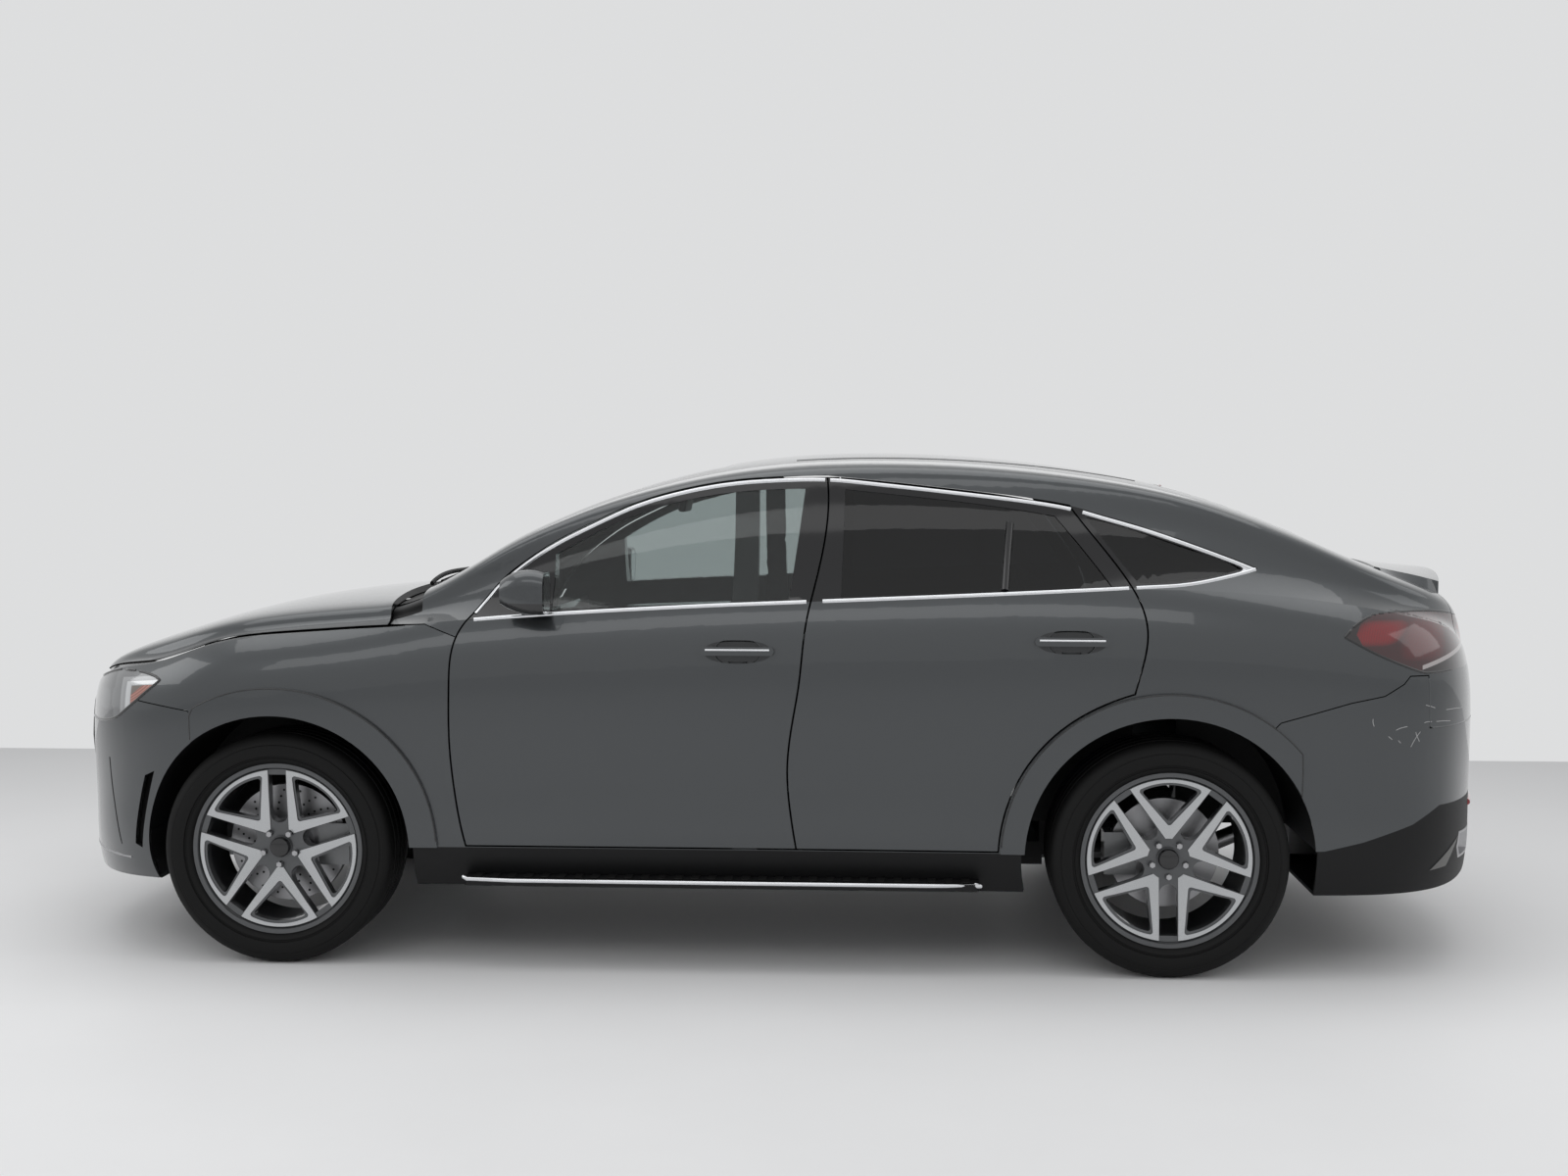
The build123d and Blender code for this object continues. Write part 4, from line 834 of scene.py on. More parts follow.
class Skin:
    """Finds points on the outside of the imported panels."""

    def __init__(self, nodes: Sequence[str]) -> None:
        """Build one search tree over some panels.

        Args:
            nodes: the panels' node names.
        """
        verts: list[Vector] = []
        faces: list[tuple[int, ...]] = []
        for name in nodes:
            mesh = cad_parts[name].data
            start = len(verts)
            verts.extend(v.co.copy() for v in mesh.vertices)
            faces.extend(tuple(start + i for i in p.vertices) for p in mesh.polygons)
        self.tree = BVHTree.FromPolygons(verts, faces)

    def side(self, x: float, z: float, lift: float = 0.0) -> Vector | None:
        """Return the left side's point at a place, lifted off along its normal.

        Args:
            x: the place along the car.
            z: the height.
            lift: the distance off the skin.

        Returns:
            The point, or None where there is no panel.
        """
        hit, normal, _index, _far = self.tree.ray_cast(Vector((x, 1.6, z)), Vector((0, -1, 0)))
        if hit is None or hit.y < 0.3:
            return None
        return hit + normal * lift

    def top(self, x: float, y: float, lift: float = 0.0) -> Vector | None:
        """Return the top point above a place in plan, lifted off along its normal."""
        hit, normal, _index, _far = self.tree.ray_cast(Vector((x, y, 2.2)), Vector((0, 0, -1)))
        return None if hit is None else hit + normal * lift

    def end(self, y: float, z: float, way: float, lift: float = 0.0) -> Vector | None:
        """Return the nose's (way 1) or tail's (way -1) point at a place, lifted off along its normal."""
        hit, normal, _index, _far = self.tree.ray_cast(Vector((3.0 * way, y, z)), Vector((-way, 0, 0)))
        return None if hit is None else hit + normal * lift

    def inboard(self, x: float, y: float, z: float) -> Vector | None:
        """Return the first point inboard of a start that lies close to the left side."""
        return self.tree.ray_cast(Vector((x, y, z)), Vector((0, -1, 0)))[0]

    def inner(self, x: float, z: float) -> Vector | None:
        """Return the left side's inner point at a place, as met from the cabin."""
        return self.tree.ray_cast(Vector((x, 0.30, z)), Vector((0, 1, 0)))[0]

    def run(self, line: Sequence[Point], step: float, lift: float) -> list[Vector]:
        """Return points along a side line, laid on the skin.

        Args:
            line: the line's x and z.
            step: the spacing along it.
            lift: the distance off the skin.

        Returns:
            The points found.
        """
        out: list[Vector] = []
        for (xa, za), (xb, zb) in zip(line, line[1:]):
            count = max(1, int(math.dist((xa, za), (xb, zb)) / step))
            for i in range(count):
                p = self.side(xa + (xb - xa) * i / count, za + (zb - za) * i / count, lift)
                if p is not None:
                    out.append(p)
        last = self.side(*line[-1], lift)
        if last is not None:
            out.append(last)
        return out


def smooth_line(points: Sequence[Point], count: int = 8) -> list[Point]:
    """Return a Catmull-Rom line through points.

    Args:
        points: the points to pass through.
        count: steps between two of them.

    Returns:
        The finer line.
    """
    pts = [points[0], *points, points[-1]]
    out: list[Point] = []
    for a, b, c, d in zip(pts, pts[1:], pts[2:], pts[3:]):
        for i in range(count):
            t = i / count
            out.append(tuple(
                0.5 * (2 * q + (r - p) * t + (2 * p - 5 * q + 4 * r - s) * t * t
                       + (3 * q - p - 3 * r + s) * t ** 3)
                for p, q, r, s in zip(a, b, c, d)))
    out.append(points[-1])
    return out


def part_of(line: Sequence[Point], x_front: float, x_back: float) -> list[Point]:
    """Return the stretch of a line between two places along the car, with exact ends.

    Args:
        line: a line that runs backwards along the car.
        x_front: where the stretch starts.
        x_back: where it ends.

    Returns:
        The stretch, front end first.
    """
    out: list[Point] = []
    for (xa, za), (xb, zb) in zip(line, line[1:]):
        for x in (x_front, x_back):
            if xb < x <= xa:
                out.append((x, za + (zb - za) * (xa - x) / (xa - xb)))
        if x_back <= xb <= x_front:
            out.append((xb, zb))
    return sorted(out, reverse=True)


def found(points: Sequence[Vector | None]) -> list[Vector]:
    """Return the points that the skin had."""
    return [p for p in points if p is not None]


def strip(points: Sequence[Vector], radius: float, name: str, finish: Finish, body: str = "body",
          twin_body: str | None = "body") -> None:
    """Lay a round strip along points, and its mirrored twin if a body is named for it.

    Args:
        points: the line that it follows, on the left or across the car.
        radius: half its width.
        name: the piece's name.
        finish: its finish.
        body: the body that it rides on.
        twin_body: the twin's body, or None where the strip has no twin.
    """
    if len(points) < 2:
        LOG.warning("no line for %s", name)
        return
    label = f"{name}_left" if twin_body else name
    left = Maker.finish(Maker.bead(points, radius), label, body, MATERIALS.plain(finish))
    if twin_body:
        Maker.twin(left, f"{name}_right", twin_body)


def plate(outline: Sequence[Sequence[float]], push: Sequence[float]) -> bmesh.types.BMesh:
    """Return a plate: an outline pushed along a vector.

    Args:
        outline: the corners of one face.
        push: the vector to the other face.

    Returns:
        The plate as a bmesh.
    """
    bm = bmesh.new()
    face = bm.faces.new([bm.verts.new(p) for p in outline])
    made = bmesh.ops.extrude_face_region(bm, geom=[face])
    bmesh.ops.translate(bm, vec=push, verts=[v for v in made["geom"] if isinstance(v, bmesh.types.BMVert)])
    return bm


class BodyDress:
    """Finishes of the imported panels."""

    @staticmethod
    def plan() -> list[tuple[tuple[str, ...], Callable[[], bpy.types.Material]]]:
        """Return how node names start and the finish that each gets; the first match counts.

        Returns:
            The starts and the makers of the materials.
        """
        plain = MATERIALS.plain
        shell = Finish("mirror_paint", (0.056, 0.061, 0.065), 0.3, metallic=0.8, coat=1.0)
        return [
            (("front_tyre", "rear_tyre"), lambda: plain(RUBBER)),
            (("front_rim", "rear_rim"), MATERIALS.rim),
            (("front_disc", "rear_disc"), MATERIALS.disc),
            (("front_door_glass",), lambda: plain(CLEAR_GLASS)),
            (("fixed_glass",), MATERIALS.screen_glass),
            (("rear_door_glass", "tailgate_glass"), lambda: plain(DARK_GLASS)),
            (("front_knuckle", "rear_hub"), lambda: plain(CALIPER)),
            (("tail_lamps", "tailgate_lamps"), MATERIALS.red_lamp),
            (("headlamps",), MATERIALS.headlamp),
            (("mirror",), lambda: MATERIALS.split("mirror_shell", GLOSS_BLACK, shell, 1.214)),
            (("cowl", "grille", "wheel_liners", "rear_valance", "side_steps"), lambda: plain(BLACK_PLASTIC)),
            (("floor_pan", "front_subframe", "rear_subframe"), lambda: plain(UNDERSIDE)),
            (("engine",), lambda: plain(CAST_IRON)),
            (("exhaust",), lambda: plain(STEEL)),
            (("front_seats", "rear_seat"), lambda: plain(LEATHER)),
            (("dashboard", "steering_wheel"), lambda: plain(DASH_SKIN)),
        ]

    def dress(self) -> None:
        """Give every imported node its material: paint where the plan names none."""
        plan = self.plan()
        for name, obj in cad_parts.items():
            pick = next((make for starts, make in plan if name.startswith(starts)), MATERIALS.paint)
            obj.data.materials.clear()
            obj.data.materials.append(pick())
            for face in obj.data.polygons:
                face.material_index = 0


@dataclass
class WindowTrim:
    """Bright strips and corners of the side windows, the rear door's bar and the roof's joint strips."""

    radius: float = 0.008
    edge: float = 0.011
    belt_rise: float = 0.001
    spacing: float = 0.02
    sink: float = -0.003
    runs: tuple[tuple[str, Point, Point], ...] = (("front_door", (0.945, -0.150), (0.945, -0.205)),
                                                  ("rear_door", (-0.166, -1.188), (-0.222, -1.012)),
                                                  ("body", (-1.212, -1.606), (-1.050, -1.600)))
    roof_front: float = -0.10
    roof_step: float = 0.05
    roof_count: int = 24
    roof_y: float = 0.575
    roof_sink: float = -0.0055
    corner_front: float = -1.535
    corner_bow: float = 0.030
    corner_length: float = 0.072
    bar_radius: float = 0.013

    def build(self) -> None:
        """Lay the strips on both sides of the car."""
        belt = [(x, z + self.belt_rise) for x, z in smooth_line(WINDOW_BELT)]
        top = [(x, z - self.edge) for x, z in smooth_line(WINDOW_TOP)]
        for label, belt_ends, top_ends in self.runs:
            fixed = label == "body"
            skin = Skin(["body_sides" if fixed else f"{label}_left"])
            bodies = ("body", "body") if fixed else (f"{label}_left", f"{label}_right")
            for word, line, ends in (("belt", belt, belt_ends), ("top", top, top_ends)):
                points = skin.run(part_of(line, *ends), self.spacing, self.sink)
                strip(points, self.radius, f"{label}_{word}_strip", BRIGHT_TRIM, *bodies)
        self.bar()
        self.corner()
        self.roof_strip()

    def roof_strip(self) -> None:
        """Lay the dark strip that covers each roof joint."""
        skin = Skin(["roof_panel", "body_sides"])
        line = [skin.top(self.roof_front - self.roof_step * i, self.roof_y, self.roof_sink)
                for i in range(self.roof_count)]
        strip(found(line), self.radius, "roof_strip", GLOSS_BLACK)

    def corner(self) -> None:
        """Fill the rear point of the quarter window with bright metal."""
        skin = Skin(["body_sides", "fixed_glass"])
        bm = bmesh.new()
        bmesh.ops.create_grid(bm, x_segments=10, y_segments=6, size=0.5)
        top = smooth_line(WINDOW_TOP)
        belt = smooth_line(WINDOW_BELT)
        for v in bm.verts:
            u, w = v.co.x + 0.5, v.co.y + 0.5
            bow = self.corner_bow * (1 - (2 * w - 1) ** 2)
            x = self.corner_front - bow - (self.corner_length - bow) * u
            low = min(belt, key=lambda p: abs(p[0] - x))[1]
            high = min(top, key=lambda p: abs(p[0] - x))[1] - self.edge
            z = low + (high - low) * w
            hit = skin.side(x, z, 0.0012)
            v.co = hit if hit is not None else Vector((x, 0.86, z))
        Maker.pair(bm, "window_corner", MATERIALS.plain(BRIGHT_TRIM))

    def bar(self) -> None:
        """Add the upright bar between the rear door's two panes."""
        skin = Skin(["rear_door_glass_left"])
        line = [(-0.792 - 0.03 * t, 1.252 + 0.29 * t) for t in (0.0, 0.25, 0.5, 0.75, 1.0)]
        points = skin.run(line, 0.04, 0.0005)
        strip(points, self.bar_radius, "window_bar", GLOSS_BLACK, "rear_door_left", "rear_door_right")


@dataclass
class Wheel:
    """One road wheel: tyre with grooves, bolts, cap, and painted shade that marks the drilled disc's holes.
    """

    end: End
    side: Side
    flank: tuple[Point, ...] = (
        (0.2868, 0.024), (0.294, 0.012), (0.304, 0.007), (0.306, 0.0095), (0.311, 0.0095),
        (0.313, 0.004), (0.332, 0.0005), (0.348, 0.003), (0.350, 0.006), (0.354, 0.006),
        (0.358, 0.007), (0.370, 0.014), (0.379, 0.023), (0.3838, 0.036))
    tread_r: float = 0.3848
    shoulder: float = 0.046
    grooves: int = 4
    groove_w: float = 0.011
    groove_d: float = 0.008
    groove_slope: float = 0.002
    bolts: int = 5
    bolt_circle: float = 0.056
    rim_inset: float = 0.028
    cap: tuple[Point, ...] = ((0.0, 0.010), (0.020, 0.0105), (0.030, 0.013), (0.0335, 0.018), (0.0335, 0.030),
                              (0.0, 0.030))
    disc_y: float = 0.8304
    hole_rings: tuple[float, ...] = (0.118, 0.138, 0.158, 0.178)
    holes_a_ring: int = 20
    hole_r: float = 0.0042

    @property
    def centre(self) -> Vector:
        """Return the wheel's centre on the left side."""
        x, y, _w = self.end.value
        return Vector((x, y, AXLE_Z))

    @property
    def body(self) -> str:
        """Return the body's name."""
        return f"{self.end.word}_wheel_{self.side.word}"

    def place(self, bm: bmesh.types.BMesh, name: str, finish: Finish) -> bpy.types.Object:
        """Finish a left piece on this wheel's side.

        Args:
            bm: the piece as made for the left side; it is freed.
            name: its name on the wheel.
            finish: its finish.

        Returns:
            The new object.
        """
        if self.side is Side.RIGHT:
            bmesh.ops.scale(bm, vec=(1, -1, 1), verts=bm.verts)
            bmesh.ops.reverse_faces(bm, faces=bm.faces)
        return Maker.finish(bm, f"{self.body}_{name}", self.body, MATERIALS.plain(finish))

    def build(self) -> None:
        """Build every piece of the wheel."""
        self.tyre()
        self.fittings()
        self.drilled_hole_shade()

    def tyre(self) -> None:
        """Turn the tyre, with grooves round the tread."""
        _x, y, w = self.end.value
        h = w / 2
        flank = [(r, -h + inset) for r, inset in self.flank]
        floor_r = self.tread_r - self.groove_d
        tread: list[Point] = []
        span = 2 * (h - self.shoulder)
        for i in range(self.grooves):
            c = -h + self.shoulder + span * (i + 0.5) / self.grooves
            g = self.groove_w / 2
            tread += [(self.tread_r, c - g), (floor_r, c - g + self.groove_slope),
                      (floor_r, c + g - self.groove_slope), (self.tread_r, c + g)]
        profile = flank + tread + [(r, -v) for r, v in reversed(flank)]
        bm = Maker.spun([(r, y + v) for r, v in profile], self.centre, steps=128, closed=True)
        tyre = self.place(bm, "tyre", RUBBER)
        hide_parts(f"{self.end.word}_tyre_{self.side.word}")

    def fittings(self) -> None:
        """Add the five bolts and the plain centre cap."""
        _x, y, w = self.end.value
        face = y + w / 2 - self.rim_inset
        bm = bmesh.new()
        for i in range(self.bolts):
            a = math.radians(90 + 36 + i * 360 / self.bolts)
            at = self.centre + self.bolt_circle * Vector((math.cos(a), 0, math.sin(a)))
            turn = Matrix.Translation((at.x, face - 0.014, at.z)) @ Matrix.Rotation(math.radians(-90), 4, "X")
            made = bmesh.ops.create_cone(bm, cap_ends=True, segments=6, radius1=0.0105, radius2=0.0095,
                                         depth=0.016)
            bmesh.ops.transform(bm, matrix=turn, verts=made["verts"])
        self.place(bm, "bolts", STEEL)
        cap = Maker.spun([(r, face - deep) for r, deep in self.cap], self.centre, steps=48)
        self.place(cap, "cap", GLOSS_BLACK)

    def drilled_hole_shade(self) -> None:
        """Add painted shade for the drilled holes of the front disc: dark discs on its face."""
        if self.end is not End.FRONT:
            return
        bm = bmesh.new()
        for ring, r in enumerate(self.hole_rings):
            for i in range(self.holes_a_ring):
                a = math.tau * (i + 0.25 * ring) / self.holes_a_ring
                made = bmesh.ops.create_circle(bm, cap_ends=True, segments=10, radius=self.hole_r)
                at = self.centre + Vector((r * math.cos(a), self.disc_y - self.centre.y, r * math.sin(a)))
                turn = Matrix.Translation(at) @ Matrix.Rotation(math.radians(-90), 4, "X")
                bmesh.ops.transform(bm, matrix=turn, verts=made["verts"])
        # Painted shade: the holes are not cut, and dark discs on the face stand for the shade inside them.
        self.place(bm, "disc_hole_shade", BLACK_PLASTIC)


@dataclass
class Steps:
    """Bright strip and rubber ribs of the side steps."""

    x0: float = -0.72
    x1: float = 0.98
    y: float = 1.003
    z: float = 0.300
    radius: float = 0.0075
    ribs: int = 30
    rib_half: float = 0.014
    rib_y: Point = (0.93, 0.985)

    def build(self) -> None:
        """Build both steps' strips and ribs."""
        x0, x1, y, z = self.x0, self.x1, self.y, self.z
        line = [Vector((x0 + 0.02, y - 0.014, z + 0.002)), Vector((x0 + 0.005, y - 0.004, z))]
        line += [Vector((x0 + (x1 - x0) * t / 10, y - 0.001, z)) for t in range(1, 10)]
        line += [Vector((x1 - 0.02, y - 0.004, z + 0.003)), Vector((x1 - 0.004, y - 0.016, z + 0.008))]
        strip(line, self.radius, "step_strip", BRIGHT_TRIM)
        bm = bmesh.new()
        for i in range(self.ribs):
            x = x0 + 0.05 + i * (x1 - x0 - 0.1) / (self.ribs - 1)
            join(bm, Maker.box((x - self.rib_half, self.rib_y[0], z + 0.006),
                               (x + self.rib_half, self.rib_y[1], z + 0.0105), 0.0015, 1))
        Maker.pair(bm, "step_ribs", MATERIALS.plain(RUBBER))


@dataclass
class Handles:
    """Bright strips along the door handles and painted shade in the hollows behind them: a dark sheet laid in
    each hollow.
    """

    places: tuple[tuple[str, float, float], ...] = (
        ("front_door", 0.071, 1.058), ("rear_door", -1.003, 1.095))
    strip_half: float = 0.104
    strip_radius: float = 0.0035
    cup_half: Point = (0.112, 0.038)
    cup_reach: float = 0.15
    squareness: float = 0.46
    depth: float = 0.013

    def build(self) -> None:
        """Lay a strip along each handle's bar and lay painted shade in the hollow."""
        for door, x, z in self.places:
            skin = Skin([f"{door}_left"])
            line = [(x + self.strip_half - self.strip_half / 5 * i, z + 0.004) for i in range(11)]
            points = skin.run(line, 0.03, 0.0)
            strip(points, self.strip_radius, f"{door}_handle_strip", BRIGHT_TRIM,
                  f"{door}_left", f"{door}_right")
            self.cup(door, skin, x, z - 0.004)

    def cup(self, door: str, skin: Skin, x: float, z: float) -> None:
        """Lay painted shade in the hollow behind a handle: a dark sheet on the door's skin.

        Args:
            door: the door's name without its side.
            skin: the door's surface.
            x: the hollow's middle along the car.
            z: its height.
        """
        start = skin.side(x + self.cup_reach, z).y
        end = skin.side(x - self.cup_reach, z).y
        bm = bmesh.new()
        bmesh.ops.create_grid(bm, x_segments=40, y_segments=14, size=1.0)
        for v in bm.verts:
            u, w = v.co.x, v.co.y
            across = self.cup_half[0] * u * math.sqrt(max(0.0, 1 - self.squareness * w * w))
            up = self.cup_half[1] * w * math.sqrt(max(0.0, 1 - self.squareness * u * u))
            base = (start + end) / 2 + (start - end) * across / (2 * self.cup_reach)
            hit = skin.inboard(x + across, base + 0.007, z + up)
            deep = base if hit is None or hit.y < base - self.depth else hit.y
            v.co = Vector((x + across, deep + 0.0006, z + up))
        # The dark sheet is painted shade: the hollow itself is body colour.
        Maker.pair(bm, f"{door}_cup", MATERIALS.plain(HANDLE_HOLLOW_SHADE), f"{door}_left", f"{door}_right")


@dataclass
class Mirrors:
    """Glass of the door mirrors."""

    width: float = 0.112
    height: float = 0.122
    corner: float = 0.034
    place: tuple[float, float, float] = (0.6892, 1.004, 1.244)

    def build(self) -> None:
        """Add a mirror plate to each housing's rear face."""
        bm = bmesh.new()
        bmesh.ops.create_grid(bm, x_segments=1, y_segments=1, size=0.5)
        bmesh.ops.scale(bm, vec=(self.height, self.width, 1), verts=bm.verts)
        bmesh.ops.bevel(bm, geom=bm.verts, offset=self.corner, affect="VERTICES", segments=6, profile=0.5,
                        material=-1)
        Maker.turn_y(bm, -90)
        bmesh.ops.translate(bm, vec=self.place, verts=bm.verts)
        Maker.pair(bm, "mirror_plate", MATERIALS.plain(MIRROR_GLASS), "front_door_left", "front_door_right")


@dataclass
class Nose:
    """Lamp seals, grille bars, lower intake, side slots and lip of the front end."""

    lamp_top: tuple[Point, ...] = (
        (2.330, 0.925), (2.212, 0.962), (2.100, 0.966), (2.032, 0.956), (2.006, 0.944))
    lamp_low: tuple[Point, ...] = (
        (2.006, 0.944), (2.060, 0.902), (2.130, 0.850), (2.200, 0.806), (2.290, 0.788), (2.360, 0.786))
    crease: tuple[Point, ...] = ((2.240, 0.665), (2.232, 0.560), (2.212, 0.460), (2.190, 0.372))
    lip_z: float = 0.330
    slot: tuple[Point, ...] = ((2.030, 0.655), (2.085, 0.640), (2.145, 0.360), (2.090, 0.352), (2.064, 0.500))
    slot_y: float = 0.845
    grille: tuple[Point, ...] = (
        (-0.440, 0.582), (0.440, 0.582), (0.512, 0.700), (0.480, 0.848), (-0.480, 0.848),
        (-0.512, 0.700), (-0.440, 0.582))
    bars: tuple[float, ...] = (0.647, 0.691, 0.735, 0.779)
    intake_half: float = 0.56
    intake_bars: tuple[Point, ...] = ((0.385, 0.52), (0.420, 0.57), (0.455, 0.57), (0.490, 0.57))
    intake_back: tuple[float, float, float] = (1.22, 0.20, 0.437)

    def build(self) -> None:
        """Build every piece of the front end."""
        skin = Skin(["headlamps", "front_bumper", "front_fenders"])
        seal = skin.run(smooth_line(self.lamp_top), 0.02, -0.001)
        seal += skin.run(smooth_line(self.lamp_low), 0.02, -0.001)[1:]
        strip(seal, 0.0052, "headlamp_seal", GLOSS_BLACK)
        cover = Skin(["front_bumper"])
        strip(cover.run(smooth_line(self.crease), 0.02, -0.002), 0.0036, "bumper_crease", BLACK_PLASTIC)
        lip = [cover.end(-0.90 + 0.05 * i, self.lip_z, 1.0, -0.004) for i in range(37)]
        strip(found(lip), 0.0065, "nose_lip", STEEL, twin_body=None)
        self.slots()
        self.grille_bars(cover)
        self.intake(cover)

    def slots(self) -> None:
        """Close the side slots with dark plates behind the bumper."""
        outline = [(x, self.slot_y, z) for x, z in self.slot]
        Maker.pair(plate(outline, (0, -0.006, 0)), "slot_back", MATERIALS.plain(BLACK_PLASTIC), smooth=False)

    def grille_bars(self, cover: Skin) -> None:
        """Frame the grille and lay a bright strip on each of its bars.

        Args:
            cover: the bumper's surface.
        """
        ring: list[Vector | None] = []
        for (ya, za), (yb, zb) in zip(self.grille, self.grille[1:]):
            ring += [cover.end(ya + (yb - ya) * i / 12, za + (zb - za) * i / 12, 1.0, 0.0) for i in range(12)]
        line = found(ring)
        strip([*line, line[0]], 0.009, "grille_frame", GLOSS_BLACK, twin_body=None)
        slab = Skin(["grille"])
        for i, z in enumerate(self.bars):
            bar = [slab.end(-0.43 + 0.043 * k, z, 1.0, -0.001) for k in range(21)]
            strip(found(bar), 0.0055, f"grille_bar_{i}", BRIGHT_TRIM, twin_body=None)

    def intake(self, cover: Skin) -> None:
        """Fill the lower intake with bars over a dark back, both bowed as the bumper is.

        Args:
            cover: the bumper's surface.
        """
        bow = [cover.end(y, 0.550, 1.0) for y in (0.0, self.intake_half)]
        x0 = bow[0].x
        fall = (x0 - bow[1].x) / self.intake_half ** 2
        for i, (z, half) in enumerate(self.intake_bars):
            line = [Vector((x0 - 0.045 - fall * y * y, y, z))
                    for y in [half * (k / 10 - 1) for k in range(21)]]
            strip(line, 0.007, f"intake_bar_{i}", BLACK_PLASTIC, twin_body=None)
        width, height, middle = self.intake_back
        bm = bmesh.new()
        bmesh.ops.create_grid(bm, x_segments=24, y_segments=1, size=0.5)
        for axis in ("X", "Z"):
            bmesh.ops.rotate(bm, cent=(0, 0, 0), matrix=Matrix.Rotation(math.radians(90), 3, axis),
                             verts=bm.verts)
        bmesh.ops.scale(bm, vec=(1, width, height), verts=bm.verts)
        for v in bm.verts:
            v.co.x = x0 - 0.085 - fall * v.co.y ** 2
            v.co.z += middle
        bmesh.ops.solidify(bm, geom=bm.faces, thickness=0.004)
        Maker.finish(bm, "intake_back", "body", MATERIALS.plain(BLACK_PLASTIC))


@dataclass
class Tail:
    """Lamp seals, reflectors, high brake lamp, lip ends, trims and scrape marks of the rear end."""

    lamp_top: tuple[Point, ...] = ((-1.868, 1.110), (-1.905, 1.146), (-1.960, 1.174), (-2.043, 1.184),
                                   (-2.200, 1.180), (-2.300, 1.166))
    lamp_low: tuple[Point, ...] = ((-1.868, 1.110), (-1.974, 1.054), (-2.106, 1.002), (-2.156, 0.996),
                                   (-2.230, 0.997))
    seal_radius: float = 0.0045
    reflector_z: float = 0.522
    high_lamp_x: float = -1.395
    rib_places: tuple[float, ...] = (-0.36, -0.18, 0.0, 0.18, 0.36)
    rib_z: Point = (0.345, 0.455)
    joints: tuple[tuple[str, Point, Point, Point], ...] = (
        ("upright", (-2.1417, 0.978), (-2.1517, 0.8168), (0.006, 0.0)),
        ("level", (-2.1517, 0.8168), (-2.3600, 0.8168), (0.0, 0.006)))
    scuffs: tuple[tuple[Point, Point], ...] = (
        ((-1.958, 0.851), (-1.962, 0.827)), ((-2.133, 0.892), (-2.168, 0.881)),
        ((-2.213, 0.871), (-2.292, 0.867)), ((-2.130, 0.835), (-2.157, 0.837)),
        ((-2.175, 0.836), (-2.234, 0.832)), ((-2.034, 0.814), (-2.071, 0.825)),
        ((-2.010, 0.794), (-2.022, 0.784)), ((-2.086, 0.758), (-2.117, 0.806)),
        ((-2.101, 0.806), (-2.115, 0.775)), ((-2.043, 0.781), (-2.051, 0.772)))
    trim: tuple[Point, ...] = ((-2.172, 0.345), (-2.240, 0.350), (-2.205, 0.372), (-2.294, 0.440))
    lip_front: float = -2.075
    lip_step: float = 0.0125
    lip_foot_y: float = 0.5955

    def build(self) -> None:
        """Build every piece of the rear end."""
        skin = Skin(["tail_lamps", "body_sides", "rear_bumper"])
        for word, line in (("upper", self.lamp_top), ("lower", self.lamp_low)):
            strip(skin.run(smooth_line(line), 0.02, -0.0012), self.seal_radius,
                  f"tail_lamp_seal_{word}", GLOSS_BLACK)
        low = Skin(["rear_valance"])
        glow = [low.end(0.40 + 0.025 * i, self.reflector_z, -1.0, -0.002) for i in range(9)]
        strip(found(glow), 0.011, "reflector", REFLECTOR)
        gate = Skin(["tailgate"])
        high = [gate.top(self.high_lamp_x, -0.16 + 0.032 * i, -0.001) for i in range(11)]
        strip(found(high), 0.006, "high_lamp", REFLECTOR, "tailgate", None)
        self.ribs(low)
        self.lip_ends(gate)
        self.pipe_trim(low)
        self.scuff_marks()
        self.corner_joint()

    def ribs(self, low: Skin) -> None:
        """Stand the upright ribs on the valance.

        Args:
            low: the valance's surface.
        """
        bm = bmesh.new()
        z0, z1 = self.rib_z
        for y in self.rib_places:
            hit = low.end(y, 0.40, -1.0)
            if hit is not None:
                join(bm, Maker.box((hit.x - 0.004, y - 0.006, z0), (hit.x + 0.10, y + 0.006, z1), 0.003, 2))
        Maker.finish(bm, "valance_ribs", "body", MATERIALS.plain(GLOSS_BLACK))

    def corner_joint(self) -> None:
        """Fill the joint between the bumper's corner and the quarter panel above it."""
        skin = Skin(["body_sides", "rear_bumper"])
        for word, (xa, za), (xb, zb), (ox, oz) in self.joints:
            points: list[Vector] = []
            for i in range(31):
                x, z = xa + (xb - xa) * i / 30, za + (zb - za) * i / 30
                pair = [skin.side(x + k * ox, z + k * oz) for k in (-1, 1)]
                if None not in pair and min(p.y for p in pair) > 0.62:
                    points.append(Vector((x, (pair[0].y + pair[1].y) / 2 - 0.0022, z)))
            Maker.pair(Maker.bead(points, 0.0032), f"joint_fill_{word}", MATERIALS.paint())

    def scuff_marks(self) -> None:
        """Lay the pale scrape marks on the left of the bumper."""
        skin = Skin(["rear_bumper", "body_sides"])
        for i, (a, b) in enumerate(self.scuffs):
            middle = ((a[0] + b[0]) / 2 + 0.002, (a[1] + b[1]) / 2 + 0.0015)
            points = skin.run(smooth_line([a, middle, b], 4), 0.004, -0.0006)
            strip(points, 0.0012, f"scuff_{i}", SCUFF, twin_body=None)

